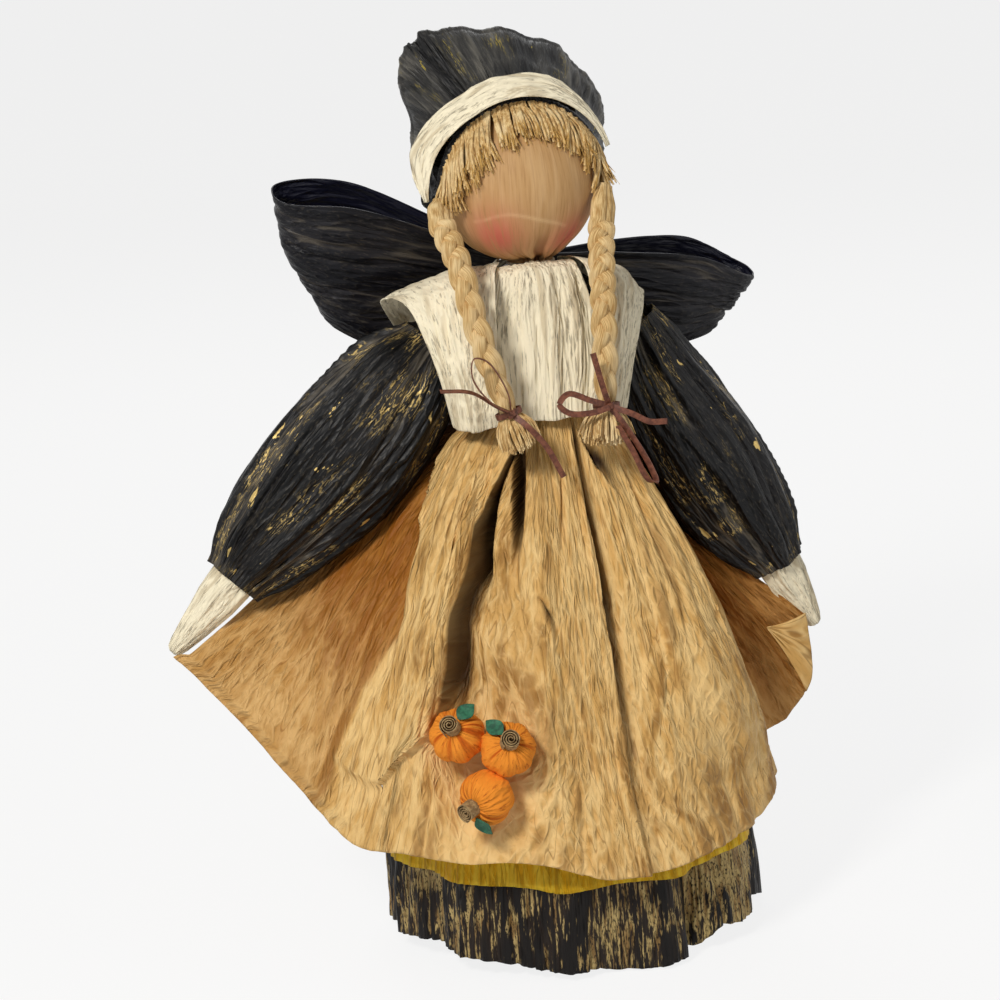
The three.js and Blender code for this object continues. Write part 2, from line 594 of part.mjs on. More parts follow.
// Plaits: three strands that cross in turn, tied with a ribbon above a loose tuft
function plait(side, path, ribbonPaths, tuftSpread) {
  const curve = new THREE.CatmullRomCurve3(path);
  const steps = 15;
  const across = point(1, 0, 0);
  const frameAt = (t) => {
    const along = curve.getTangent(t);
    const wide = across.clone().addScaledVector(along, -across.dot(along)).normalize();
    return { along, wide, face: along.clone().cross(wide), centre: curve.getPoint(t) };
  };
  const strands = [0, 1, 2].map((k) => loft(Array.from({ length: steps + 1 }, (_, i) => {
    const t = i / steps;
    const { wide, face, centre } = frameAt(t);
    const phase = 2 * Math.PI * (plaitTurns * t + k / 3);
    const slim = 1 - 0.28 * Math.max(0, (t - 0.86) / 0.14) - 0.2 * Math.max(0, (0.1 - t) / 0.1);
    const spot = centre.clone().addScaledVector(wide, slim * plaitSwing * Math.sin(phase))
      .addScaledVector(face, slim * 1.7 * Math.sin(2 * phase));
    return Array.from({ length: 5 }, (__, n) => {
      const turn = (2 * Math.PI * n) / 5;
      return spot.clone().addScaledVector(wide, slim * plaitStrandHalfWidth * Math.cos(turn))
        .addScaledVector(face, slim * plaitStrandHalfDepth * Math.sin(turn));
    });
  })));
  add(doll, `${side}_braid`, joined(strands), straw, 0.8);

  const { along, wide, face, centre } = frameAt(1);
  const halfWide = 0.8 * (plaitSwing + plaitStrandHalfWidth);
  const halfDeep = 0.8 * (1.7 + plaitStrandHalfDepth);
  const oval = (turn, grow, down) => centre.clone().addScaledVector(along, down)
    .addScaledVector(wide, (halfWide + grow) * Math.cos(turn))
    .addScaledVector(face, (halfDeep + grow) * Math.sin(turn));
  const loop = sheet((u, v) => oval(2 * Math.PI * u, gap + 0.5, ribbonWidth * (v - 1)), 16, 1, 0.9, true);
  const front = oval(face.y < 0 ? Math.PI / 2 : -Math.PI / 2, gap + 0.6, -0.5 * ribbonWidth);
  const strips = ribbonPaths.map(([widthDirection, ...steps3]) => {
    const trail = new THREE.CatmullRomCurve3([front, ...steps3.map((p) => front.clone().add(p))]);
    return strand(trail.getPoints(3 * steps3.length), widthDirection, ribbonWidth, ribbonThickness);
  });
  add(doll, `${side}_ribbon`, joined([loop, ...strips]), brown, 0.6);

  const tuftRing = (down, grow) => Array.from({ length: 12 }, (_, n) => oval((2 * Math.PI * n) / 12, grow, down));
  const tuft = [loft([tuftRing(gap, -1), tuftRing(gap + 2.5, -0.8)])];
  for (let i = 0; i < tuftStrands; i += 1) {
    const turn = i * 2.39996;
    const spread = Math.sqrt((i + 0.5) / tuftStrands);
    const base = oval(turn, -1.6, gap + 2).sub(centre).multiplyScalar(0.9);
    const root = centre.clone().addScaledVector(along, gap + 1.2).addScaledVector(wide, spread * base.dot(wide))
      .addScaledVector(face, spread * base.dot(face));
    const length = 15 + 2.5 * Math.sin(i * 5.1);
    const tip = root.clone().addScaledVector(along, length).addScaledVector(wide, spread * tuftSpread * Math.cos(turn))
      .addScaledVector(face, spread * 0.35 * tuftSpread * Math.sin(turn));
    tuft.push(strand([root, tip], wide, (v) => 1.3 - 0.5 * v, 1, 3));
  }
  add(doll, `${side}_tuft`, joined(tuft), straw, 0.85);
}
const plaitSeat = headRadius + gap + 0.66 * (plaitSwing + plaitStrandHalfWidth);
// The right plait starts just in front of the band's end, the left one on the side of the head
const rightTop = point(bonnetShift - bandInnerRadius + 1.4, bandFront - 1, -3).add(headCentre);
const leftTop = point(0.84, -0.54, -0.06).normalize().multiplyScalar(plaitSeat).add(headCentre);
const knotDrop = 54; // from the neck down to the ribbons
plait("right", [
  rightTop,
  point(-44, -23, neckHeight + 26),
  point(-40.5, -33, neckHeight + 10),
  point(-37, -45.2, neckHeight - 18),
  point(-27, -50, neckHeight - knotDrop),
], [
  [point(0.6, -0.5, 0), point(-3, -3, 12), point(-13, -4, 27), point(-12, -5, 20)],
  [point(0.2, 0.3, 1), point(-12, -4, 6), point(-31, -4, 14)],
  [point(0.4, -0.4, 0.8), point(8, -4, -8), point(20, -3, -26)],
], 6);
plait("left", [
  leftTop,
  point(23, -31.5, neckHeight + 14),
  point(18.5, -43.5, neckHeight - 12),
  point(15.5, -49, neckHeight - knotDrop - 2),
], [
  [point(0.2, 0.2, 1), point(-9, -4, 7), point(-20, -3, 5), point(-12, -6, 1)],
  [point(0.5, -0.5, 0), point(-4, -3, 12), point(-7, -4, 24)],
  [point(0.2, 0.2, 1), point(11, -4, -3), point(23, -3.5, -10)],
  [point(0.8, -0.5, 0), point(8, -5, -14), point(16, -5, -33), point(12, -6, -27)],
], 6);

// Arms: a puffed sleeve and a twisted hand on a wire, drawn along local +X from the shoulder
function arm(side, sign, angle, puff, rows, handLength) {
  const holder = new THREE.Group();
  holder.name = `${side}_arm_set`;
  holder.position.set(sign * shoulderHalfSpan, shoulderDepth, shoulderHeight);
  holder.rotation.y = angle * degrees;
  doll.add(holder);
  const folds = 9;
  const rings = rows.map(([along, fill, sag]) => Array.from({ length: 2 * folds }, (_, k) => {
    const turn = (Math.PI * k) / folds;
    const crease = 1 + (k % 2 ? -0.045 : 0.03);
    const wide = Math.max(wristRadius, puff * fill) * crease;
    const deep = Math.max(0.9 * wristRadius, sleeveHalfDepth * fill) * crease;
    return point(along * sleeveLength, deep * Math.sin(turn), wide * Math.cos(turn) - sign * sag);
  }));
  const wireStart = 1.3 * wireRadius;
  const wireEnd = handStart + 0.6 * handLength;
  const wireBore = rod(wireRadius + gap, point(-5, 0, 0), point(wireEnd + gap, 0, 0), 8);
  add(holder, `${side}_sleeve`, bored(loft(rings), [wireBore]), black, 0.7);
  const handRows = [[0, 0.92, 0.85], [0.3, 0.86, 0.66], [0.62, 0.62, 0.45], [0.88, 0.4, 0.34], [1, 0.28, 0.3]];
  const hand = loft(handRows.map(([along, wide, deep]) => Array.from({ length: 12 }, (_, k) => {
    const turn = (Math.PI * k) / 6;
    const crease = k % 2 ? 0.94 : 1.03;
    return point(handStart + along * handLength, wristRadius * deep * crease * Math.sin(turn),
      wristRadius * wide * crease * Math.cos(turn));
  })));
  add(holder, `${side}_hand`, bored(hand, [wireBore]), cream, 0.8);
  const wire = rod(wireRadius, point(wireStart, 0, 0), point(wireEnd, 0, 0), 8);
  add(holder, `${side}_arm_wire`, wire, 0x8f8f8c, 0.4, 0.8);
}
// Place along the sleeve, its fullness there, and how far it sags toward the body
const rightSleeveRows = [
  [0.02, 0.48, 0], [0.07, 0.64, 0.8], [0.16, 0.82, 1.6], [0.3, 0.94, 2.4], [0.46, 0.97, 2.4],
  [0.6, 0.91, 2], [0.76, 0.78, 1], [0.88, 0.62, 0], [0.96, 0.47, 0], [1, 0.4, 0],
];
const leftSleeveRows = [
  [0.02, 0.5, 0], [0.07, 0.56, 1.6], [0.16, 0.66, 3.2], [0.3, 0.83, 3.8], [0.48, 0.98, 3.4],
  [0.62, 0.97, 3.1], [0.76, 0.88, 2.8], [0.88, 0.71, 1.4], [0.96, 0.55, 0.4], [1, 0.48, 0],
];
arm("right", -1, rightArmAngle, rightSleevePuff, rightSleeveRows, rightHandLength);
arm("left", 1, leftArmAngle, leftSleevePuff, leftSleeveRows, leftHandLength);

export default doll;
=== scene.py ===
"""Looks of a faceless paper twist doll in a bonnet that holds out its apron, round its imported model."""
import math

import bpy
import numpy as np
from mathutils import Matrix, Vector


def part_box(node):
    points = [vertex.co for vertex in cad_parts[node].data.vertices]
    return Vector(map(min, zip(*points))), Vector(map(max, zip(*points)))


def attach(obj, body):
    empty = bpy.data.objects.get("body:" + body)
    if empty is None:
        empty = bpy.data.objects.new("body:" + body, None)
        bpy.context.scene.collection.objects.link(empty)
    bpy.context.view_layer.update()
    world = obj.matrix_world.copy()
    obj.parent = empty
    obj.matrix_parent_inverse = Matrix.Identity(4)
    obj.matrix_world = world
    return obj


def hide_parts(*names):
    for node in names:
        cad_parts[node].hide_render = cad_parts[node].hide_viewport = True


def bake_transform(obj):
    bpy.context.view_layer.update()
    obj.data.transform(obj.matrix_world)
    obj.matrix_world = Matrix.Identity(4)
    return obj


bl_info = {
    "name": "Paper twist doll",
    "version": (1, 0, 0),
    "blender": (4, 5, 0),
    "location": "View3D > Sidebar > Paper doll",
    "description": "Dresses the packed doll in crinkled twist paper, raffia hair and trim",
    "category": "Add Mesh",
}

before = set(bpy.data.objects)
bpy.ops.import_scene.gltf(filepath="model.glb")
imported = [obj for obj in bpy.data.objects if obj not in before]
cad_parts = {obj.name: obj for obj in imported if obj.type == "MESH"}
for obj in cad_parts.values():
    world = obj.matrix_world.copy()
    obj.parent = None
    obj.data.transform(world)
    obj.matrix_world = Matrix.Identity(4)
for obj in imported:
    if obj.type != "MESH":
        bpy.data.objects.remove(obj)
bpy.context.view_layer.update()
MM = 0.001

# Sizes that the looks share with the solids, in millimetres
WAIST_TOP = 237.4
HEM_RADIUS = 79.5
SKIRT_TOP_RADIUS = 25.1
LAYER_PITCH = 2.3
UNDERSKIRT_HEM = 0.4
OVERSKIRT_HEM = 40.0
APRON_WAIST_RADIUS = 29.2
APRON_TOP = 238.0
NECK_HEIGHT = 297.4
BODICE_BOTTOM = 229.4
BODICE_HEIGHT = 68.0
HEAD_CENTRE = np.array([-3.2, 0.0, 334.0])
HEAD_RADIUS = 34.0
BONNET_CENTRE = HEAD_CENTRE + np.array([-1.2, 0.0, 0.0])
BAND_INNER = 38.5
BAND_OUTER = 47.0
SHOULDER = {"right": np.array([-45.0, 5.5, 267.0]), "left": np.array([45.0, 5.5, 267.0])}
ARM_ANGLE = {"right": 135.6, "left": 62.0}
SLEEVE_LENGTH = 133.0
SLEEVE_PUFF = {"right": 29.0, "left": 24.0}
SLEEVE_DEPTH = 20.0
WRIST_RADIUS = 11.0
HAND_START = 133.4
HAND_LENGTH = {"right": 40.0, "left": 36.0}
BOW_CENTRE = np.array([0.0, 32.2, 280.4])
PUMPKIN_RADIUS = 11.5
SHEET = 0.5  # thickness of the paper in the dressed doll


# Curves and fields

def smooth(x, low, high):
    """0 below low, 1 above high, and an even rise between them."""
    t = np.clip((x - low) / (high - low), 0.0, 1.0)
    return t * t * (3 - 2 * t)


def between(x, start, full, fall, end):
    """Rises from 0 at start to 1 at full, stays there, and drops from fall to 0 at end."""
    return smooth(x, start, full) * (1 - smooth(x, fall, end))


def bell(x, centre, half):
    """A rounded bump of height 1."""
    return np.exp(-(((x - centre) / half) ** 2))


def unit(vectors):
    """The vectors at length 1."""
    vectors = np.asarray(vectors, float)
    return vectors / np.maximum(np.linalg.norm(vectors, axis=-1, keepdims=True), 1e-9)


def spline(points, t):
    """Points on a centripetal Catmull-Rom curve through the rows of points."""
    points = np.asarray(points, float)
    t = np.atleast_1d(np.asarray(t, float))
    count = len(points)
    place = np.clip(t, 0, 1) * (count - 1)
    i = np.minimum(place.astype(int), count - 2)
    ends = np.concatenate([[2 * points[0] - points[1]], points, [2 * points[-1] - points[-2]]])
    p0, p1, p2, p3 = ends[i], ends[i + 1], ends[i + 2], ends[i + 3]

    def knot(a, b):
        return np.maximum(((a - b) ** 2).sum(-1, keepdims=True) ** 0.25, 1e-6)

    d0, d1, d2 = knot(p0, p1), knot(p1, p2), knot(p2, p3)
    m1 = ((p1 - p0) / d0 - (p2 - p0) / (d0 + d1) + (p2 - p1) / d1) * d1
    m2 = ((p2 - p1) / d1 - (p3 - p1) / (d1 + d2) + (p3 - p2) / d2) * d1
    w = (place - i).reshape((-1,) + (1,) * (p1.ndim - 1))
    return p1 + m1 * w + (3 * (p2 - p1) - 2 * m1 - m2) * w**2 + (2 * (p1 - p2) + m1 + m2) * w**3


def even_spline(points, t):
    """Points on a uniform Catmull-Rom curve, as the solids' profiles use."""
    points = np.asarray(points, float)
    t = np.asarray(t, float)
    last = len(points) - 1
    place = np.clip(t, 0, 1) * last
    i = np.minimum(place.astype(int), last - 1)
    p0, p1, p2, p3 = (points[np.clip(i + k, 0, last)] for k in (-1, 0, 1, 2))
    w = (place - i)[..., None]
    v0, v1 = (p2 - p0) / 2, (p3 - p1) / 2
    return p1 + v0 * w + (3 * (p2 - p1) - 2 * v0 - v1) * w**2 + (2 * (p1 - p2) + v0 + v1) * w**3


def field(u, v, cells_u, cells_v, seed, ring=False):
    """Soft random field from 0 to 1 with that many cells across u and v."""
    cells_u = max(1, int(round(cells_u)))
    values = np.random.default_rng(seed).random((cells_u + (0 if ring else 2), int(cells_v) + 3))
    x, y = np.asarray(u) * cells_u, np.clip(v, 0, 1) * cells_v
    i, j = np.floor(x).astype(int), np.floor(y).astype(int)
    a, b = x - i, y - j
    a, b = a * a * (3 - 2 * a), b * b * (3 - 2 * b)
    if ring:
        i0, i1 = i % cells_u, (i + 1) % cells_u
    else:
        i0, i1 = np.clip(i, 0, cells_u + 1), np.clip(i + 1, 0, cells_u + 1)
    low = values[i0, j] * (1 - a) + values[i1, j] * a
    high = values[i0, j + 1] * (1 - a) + values[i1, j + 1] * a
    return low * (1 - b) + high * b


def crest(u, v, cells_u, cells_v, seed, ring=False):
    """Narrow crests of height 1 that wander along v, with broad valleys between them."""
    return (1 - np.abs(2 * field(u, v, cells_u, cells_v, seed, ring) - 1)) ** 2


def creases(u, v, flat, across, along, seed, ring=False):
    """Crinkles of twist paper, from about -0.4 to 0.7, spaced by across and along millimetres."""
    wide, long = flat
    sway = field(u, v, wide / (3 * across), long / (0.8 * along), seed + 1, ring) - 0.5
    shifted = u + 1.8 * sway * across / wide
    main = crest(shifted, v, wide / across, long / along, seed + 2, ring)
    fine = crest(shifted, v, 2.3 * wide / across, 2.2 * long / along, seed + 3, ring)
    patch = field(u, v, wide / (4 * across), 1.5 * long / along, seed + 4, ring)
    return (0.65 * main + 0.4 * fine - 0.36) * (0.55 + 0.9 * patch)


def crinkle(amount, flat, across, along, seed, ring=False):
    """Relief of a sheet: creases along its grain, that many millimetres deep at the usual setting."""
    deep = amount * (settings().crinkle / MM)
    return lambda u, v: deep * creases(u, v, flat, across, along, seed, ring)


def millimetres(flat):
    """Sides of a sheet that are given in metres."""
    return tuple(1000 * side for side in flat)


# Meshes

MAP_UNIT = 100.0  # the papers' maps count in decimetres


def link(data, name):
    """New object in the scene."""
    piece = bpy.data.objects.new(name, data)
    bpy.context.scene.collection.objects.link(piece)
    return piece


def make_piece(name, points, faces, finish, uv=None, attributes=None):
    """Piece from points in millimetres and faces of one size, with its map and point attributes."""
    mesh = bpy.data.meshes.new(name)
    faces = np.asarray(faces, np.int32)
    corners = faces.shape[1]
    mesh.vertices.add(len(points))
    mesh.vertices.foreach_set("co", (np.asarray(points, np.float32) * MM).ravel())
    mesh.loops.add(faces.size)
    mesh.loops.foreach_set("vertex_index", faces.ravel())
    mesh.polygons.add(len(faces))
    mesh.polygons.foreach_set("loop_start", np.arange(0, faces.size, corners, dtype=np.int32))
    mesh.update(calc_edges=True)
    if uv is not None:
        layer = mesh.uv_layers.new(name="paper")
        layer.data.foreach_set("uv", np.asarray(uv, np.float32).ravel())
    for key, values in (attributes or {}).items():
        layer = mesh.attributes.new(key, "FLOAT", "POINT")
        layer.data.foreach_set("value", np.asarray(values, np.float32).ravel())
    mesh.polygons.foreach_set("use_smooth", np.ones(len(faces), bool))
    mesh.materials.append(finish)
    mesh.validate()
    return link(mesh, name)


def grid_normals(points, ring):
    """Directions out of a grid of points."""
    along_u = np.roll(points, -1, 0) - np.roll(points, 1, 0) if ring else np.gradient(points, axis=0)
    return unit(np.cross(along_u, np.gradient(points, axis=1)))


def grid_faces(columns, rows, across):
    """Faces of a grid whose points run along its rows first, and the places of their corners."""
    i, j = np.indices((columns, rows))
    places = np.stack([np.stack([i + a, j + b], -1) for a, b in ((0, 0), (1, 0), (1, 1), (0, 1))], -2)
    places = places.reshape(-1, 4, 2)
    return places[..., 0] % across * (rows + 1) + places[..., 1], places


def rank(height):
    """Height from 0 in the valleys to 1 on the crests."""
    low, high = np.percentile(height, (3, 97))
    return np.clip((height - low) / (high - low), 0, 1) if high > low else 0 * height + 0.5


def lay(at, relief, columns, rows, ring):
    """Grid of points through at(u, v), raised by relief(u, v) along their normals."""
    across = columns if ring else columns + 1
    u, v = np.meshgrid(np.arange(across) / columns, np.arange(rows + 1) / rows, indexing="ij")
    points = at(u, v)
    height = relief(u, v) if relief else np.zeros_like(u)
    return u, v, points + grid_normals(points, ring) * height[..., None], height


def edge_walls(line, across, down, flip):
    """Faces between front and back along a line of grid places, and the places of their corners."""
    places = np.stack([line[:-1], line[:-1], line[1:], line[1:]], 1)
    layer = np.array([0, 1, 1, 0]) * across * down
    faces = places[..., 0] % across * down + places[..., 1] + layer
    return (faces[:, ::-1], places[:, ::-1]) if flip else (faces, places)


def paper_sheet(name, at, columns, rows, flat, finish, ring=False, relief=None, thickness=SHEET, **painted):
    """Layer of paper through at(u, v), crinkled by relief(u, v), with a front, a back and closed edges."""
    u, v, points, height = lay(at, relief, columns, rows, ring)
    normal = grid_normals(points, ring) * thickness / 2
    across, down = u.shape
    faces, places = grid_faces(columns, rows, across)
    walls = [(faces, places), (faces[:, ::-1] + u.size, places[:, ::-1])]
    i, j = np.arange(columns + 1), np.arange(rows + 1)
    edges = [(i, 0 * i, False), (i, 0 * i + rows, True)]
    if not ring:
        edges += [(0 * j, j, True), (0 * j + columns, j, False)]
    walls += [edge_walls(np.stack([x, y], -1), across, down, flip) for x, y, flip in edges]
    faces, places = (np.concatenate(part) for part in zip(*walls))
    marks = {"ridge": rank(height), **{key: paint(u, v) for key, paint in painted.items()}}
    marks = {key: np.tile(values.ravel(), 2) for key, values in marks.items()}
    marks["back"] = np.repeat([0.0, 1.0], u.size)
    both = np.concatenate([(points + normal).reshape(-1, 3), (points - normal).reshape(-1, 3)])
    scale = np.array([flat[0] / columns, flat[1] / rows]) / MAP_UNIT
    return make_piece(name, both, faces, finish, places * scale, marks)


def round_form(name, at, columns, rows, flat, finish, relief=None, **painted):
    """Body of triangles through rings at(u, v), closed by a fan round a middle point at both ends."""
    u, v, points, height = lay(at, relief, columns, rows, ring=True)
    quads, places = grid_faces(columns, rows, columns)
    body = np.concatenate([points.reshape(-1, 3), [points[:, 0].mean(0)], [points[:, -1].mean(0)]])
    down, first = rows + 1, u.size
    i = np.arange(columns)
    n = (i + 1) % columns
    faces = np.concatenate([quads[:, [0, 1, 2]], quads[:, [0, 2, 3]],
                            np.stack([0 * i + first, n * down, i * down], -1),
                            np.stack([0 * i + first + 1, i * down + rows, n * down + rows], -1)])
    ends = [np.repeat(np.stack([i, 0 * i + row], -1)[:, None], 3, 1) for row in (0, rows)]
    spots = np.concatenate([places[:, [0, 1, 2]], places[:, [0, 2, 3]], *ends])
    marks = {key: np.append(paint(u, v), [0, 0]) for key, paint in painted.items()}
    marks["ridge"] = np.append(rank(height), [0.5, 0.5])
    marks["back"] = 0 * marks["ridge"]
    scale = np.array([flat[0] / columns, flat[1] / rows]) / MAP_UNIT
    return make_piece(name, body, faces, finish, spots * scale, marks)


# Finishes

def feed(made, values):
    """Links each value that another node puts out to the node, and sets any other."""
    for key, value in values.items():
        if isinstance(value, bpy.types.NodeSocket):
            made.id_data.links.new(value, made.inputs[key])
        else:
            made.inputs[key].default_value = value


def node(tree, kind, values=None, **options):
    """New node with its options and what goes into it."""
    made = tree.nodes.new(kind)
    for key, value in options.items():
        setattr(made, key, value)
    feed(made, values or {})
    return made


def linear(colour):
    """Scene colour of an sRGB colour given from 0 to 255."""
    share = np.asarray(colour, float) / 255
    low, high = share / 12.92, ((share + 0.055) / 1.055) ** 2.4
    return (*np.where(share <= 0.04045, low, high).tolist(), 1.0)


class Finish:
    """A material under construction, with the few node steps that the papers share."""

    def __init__(self, name):
        self.material = bpy.data.materials.new(name)
        self.material.use_nodes = True
        self.tree = self.material.node_tree

    def add(self, kind, values=None, out=0, **options):
        return node(self.tree, kind, values, **options).outputs[out]

    def number(self, kind, *values, clamp=False):
        return self.add("ShaderNodeMath", dict(enumerate(values)), operation=kind, use_clamp=clamp)

    def times(self, a, b):
        return self.number("MULTIPLY", a, b)

    def plus(self, value, share, base):
        """The base with a share of the value added."""
        return self.number("MULTIPLY_ADD", value, share, base)

    def mark(self, name):
        """What is painted on the piece's points under that name."""
        return self.add("ShaderNodeAttribute", out="Fac", attribute_name=name)

    def uv(self, across, along, turn=0.0):
        """Map of the sheet, turned, then scaled across and along its grain."""
        source = self.add("ShaderNodeUVMap", uv_map="paper")
        given = {"Vector": source, "Scale": (1 / across, 1 / along, 1), "Rotation": (0, 0, turn)}
        return self.add("ShaderNodeMapping", given, vector_type="TEXTURE")

    def spot(self, scale):
        """Place in the doll's own frame."""
        source = self.add("ShaderNodeTexCoord", out="Object")
        return self.add("ShaderNodeMapping", {"Vector": source, "Scale": scale})

    def noise(self, vector, detail, rough):
        given = {"Vector": vector, "Scale": 1.0, "Detail": detail, "Roughness": rough}
        return self.add("ShaderNodeTexNoise", given)

    def streaks(self, across, along, detail, rough):
        """Noise on the sheet with that many cells in a decimetre, across and along its grain."""
        return self.noise(self.uv(across, along), detail, rough)

    def crest(self, across, along, turn=0.0):
        """Fine sharp crests of height 1 along the grain."""
        far = self.plus(self.noise(self.uv(across, along, turn), 1, 0.55), 4.0, -2.0)
        return self.number("SUBTRACT", 1.0, self.number("ABSOLUTE", far), clamp=True)

    def ramp(self, value, low, high):
        """0 at low and 1 at high, evenly eased."""
        given = {"Value": value, "From Min": low, "From Max": high}
        return self.add("ShaderNodeMapRange", given, interpolation_type="SMOOTHSTEP")

    def share(self, value, low, high, most):
        """0 at low and most at high."""
        return self.times(self.ramp(value, low, high), most)

    def mix(self, share, a, b):
        return self.add("ShaderNodeMix", {0: share, 6: a, 7: b}, 2, data_type="RGBA")

    def finish(self, colour, roughness, bump, depth, strength, metallic=0.0, specular=0.35):
        raised = self.add("ShaderNodeBump", {"Height": bump, "Strength": strength, "Distance": depth})
        feed(self.tree.nodes["Principled BSDF"],
             {"Base Color": colour, "Roughness": roughness, "Metallic": metallic,
              "Specular IOR Level": specular, "Normal": raised})
        return self.material


def black_paper(name, colour, deep, grey, gold, inside=None, gold_share=0.0, flakes=0.78):
    """Black twist paper: painted shade in its valleys, grey on the crests that is partly wear and partly
    painted highlight, gold rubbed along some of them and torn gold flakes.
    """
    f = Finish(name)
    ridge = f.mark("ridge")
    fold, thin, web, vein = f.crest(24, 3.6), f.crest(44, 4), f.crest(46, 11), f.crest(62, 11)
    dust, patch, torn = f.streaks(150, 40, 2, 0.6), f.streaks(6, 3, 2, 0.5), f.streaks(19, 6, 3, 0.6)
    # Painted shade: the valleys of the relief darken toward the deep colour.
    base = f.mix(f.ramp(ridge, 0.15, 0.75), deep, colour)
    # Grey on the crests and on the fine veins: partly wear, partly painted highlight.
    base = f.mix(f.share(f.times(ridge, fold), 0.45, 0.95, 0.75), base, grey)
    base = f.mix(f.share(f.times(vein, dust), 0.42, 0.62, 0.25), base, grey)
    if inside:
        base = f.mix(f.mark("back"), inside, base)
    line = f.times(f.ramp(f.number("MAXIMUM", thin, web), 0.88, 0.98), f.ramp(ridge, 0.3, 0.65))
    worn = 0.57 - 0.16 * gold_share
    line = f.times(line, f.share(patch, worn, worn + 0.11, 0.95))
    line = f.times(line, f.ramp(dust, 0.42, 0.56))
    leaf = f.number("MAXIMUM", line, f.ramp(torn, flakes, flakes + 0.015))
    height = f.plus(vein, 0.25, f.plus(dust, 0.12, fold))
    return f.finish(f.mix(leaf, base, gold), 0.44, height, 0.0011, 0.9, f.times(leaf, 0.3), 0.2)


def gilt_paper(name, colour, deep, gold, pale):
    """Black paper of the underskirt, with gold brushed on in upright streaks, painted shade in its valleys
    and a painted highlight that turns the gold pale on its crests.
    """
    f = Finish(name)
    ridge, fold = f.mark("ridge"), f.crest(40, 4)
    dust, streak, patch = f.streaks(170, 40, 2, 0.6), f.streaks(82, 7, 3, 0.6), f.streaks(7, 4, 2, 0.5)
    # Painted shade: the valleys of the relief darken toward the deep colour.
    base = f.mix(f.ramp(ridge, 0.15, 0.7), deep, colour)
    cover = f.plus(f.mark("tone"), 0.14, f.plus(ridge, 0.22, f.plus(patch, 0.4, streak)))
    leaf = f.times(f.ramp(cover, 0.83, 0.92), f.ramp(dust, 0.34, 0.52))
    # Painted highlight: the gold turns pale on the crests of its folds.
    gold_and_highlight = f.mix(f.ramp(fold, 0.4, 0.95), gold, pale)
    gilt = f.mix(f.times(leaf, 0.92), base, gold_and_highlight)
    return f.finish(gilt, 0.55, f.plus(dust, 0.12, fold), 0.001, 0.8, f.times(leaf, 0.25), 0.2)


def streaked_paper(name, colour, deep, rub, rub_share):
    """Pale twist paper with grey-brown rub in streaks along its grain, and painted shade in the valleys of
    its relief.
    """
    f = Finish(name)
    dust, streak, patch = f.streaks(120, 30, 3, 0.65), f.streaks(84, 12, 3, 0.6), f.streaks(6, 3, 2, 0.5)
    # Painted shade: the valleys of the relief darken toward the deep colour.
    base = f.mix(f.ramp(f.mark("ridge"), 0.0, 0.4), deep, colour)
    least = 0.66 - 0.1 * rub_share
    mask = f.ramp(f.plus(patch, 0.4, f.times(streak, 0.8)), least, least + 0.1)
    mask = f.times(mask, f.share(dust, 0.36, 0.58, 0.75))
    height = f.plus(dust, 0.15, f.crest(30, 9))
    return f.finish(f.mix(mask, base, rub), 0.78, height, 0.001, 0.8, specular=0.15)


def plain_paper(name, colour, deep, light, inner, glow, dark, fine=1.0, bump=0.0017):
    """Tan twist paper: painted shade in its valleys and thin dark creases, pale veined crests that are
    partly burnish and partly painted highlight, an orange-brown painted shade in the pockets and a dark
    painted shade deep in the folds.
    """
    f = Finish(name)
    ridge = f.mark("ridge")
    fold, crack = f.crest(13 * fine, 4), f.crest(17 * fine, 2.2)
    vein = f.number("MAXIMUM", f.crest(23 * fine, 6, 0.24), f.crest(23 * fine, 6, -0.24))
    grain, patch = f.streaks(130 * fine, 45, 2, 0.6), f.streaks(5, 2.5, 3, 0.5)
    crests = f.plus(vein, 0.6, f.plus(ridge, 0.4, f.times(fold, 0.4)))
    # Painted shade: the valleys of the relief darken toward the deep colour.
    base = f.mix(f.share(ridge, 0.36, 0.0, 0.7), colour, deep)
    base = f.mix(f.share(patch, 0.4, 0.7, 0.3), base, light)
    base = f.mix(f.share(grain, 0.5, 0.3, 0.22), base, deep)
    # Pale on the crests: partly burnish, partly painted highlight.
    base = f.mix(f.share(crests, 0.75, 1.25, 0.9), base, light)
    # Painted shade: thin dark creases.
    base = f.mix(f.times(f.share(crack, 0.93, 0.99, 0.6), f.ramp(patch, 0.62, 0.45)), base, deep)
    # Painted shade in the pockets under the sleeves: inner, a little lighter toward glow on the crests.
    pocket_shade_colour = f.mix(f.share(crests, 0.75, 1.35, 0.55), inner, glow)
    base = f.mix(f.times(f.mark("tone"), 0.9), base, pocket_shade_colour)
    # Painted shade: the dark colour deep in the apron's valleys and folds.
    base = f.mix(f.mark("shade"), base, dark)
    height = f.plus(grain, 0.1, f.plus(fold, 0.55, f.times(vein, 0.7)))
    return f.finish(base, 0.55, height, bump, 1.0, specular=0.18)


def straw_finish(name, colour, deep, light, mapped=False):
    """Raffia: pale straw with fine darker lines along each strand."""
    f = Finish(name)
    lines = f.noise(f.uv(240, 12) if mapped else f.spot((900, 900, 160)), 3, 0.6)
    patch = f.noise(f.spot((120, 120, 60)), 2, 0.5)
    base = f.mix(f.ramp(lines, 0.35, 0.65), deep, colour)
    base = f.mix(f.share(patch, 0.45, 0.7, 0.6), base, light)
    return f.finish(base, 0.7, lines, 0.0004, 0.5, specular=0.3)


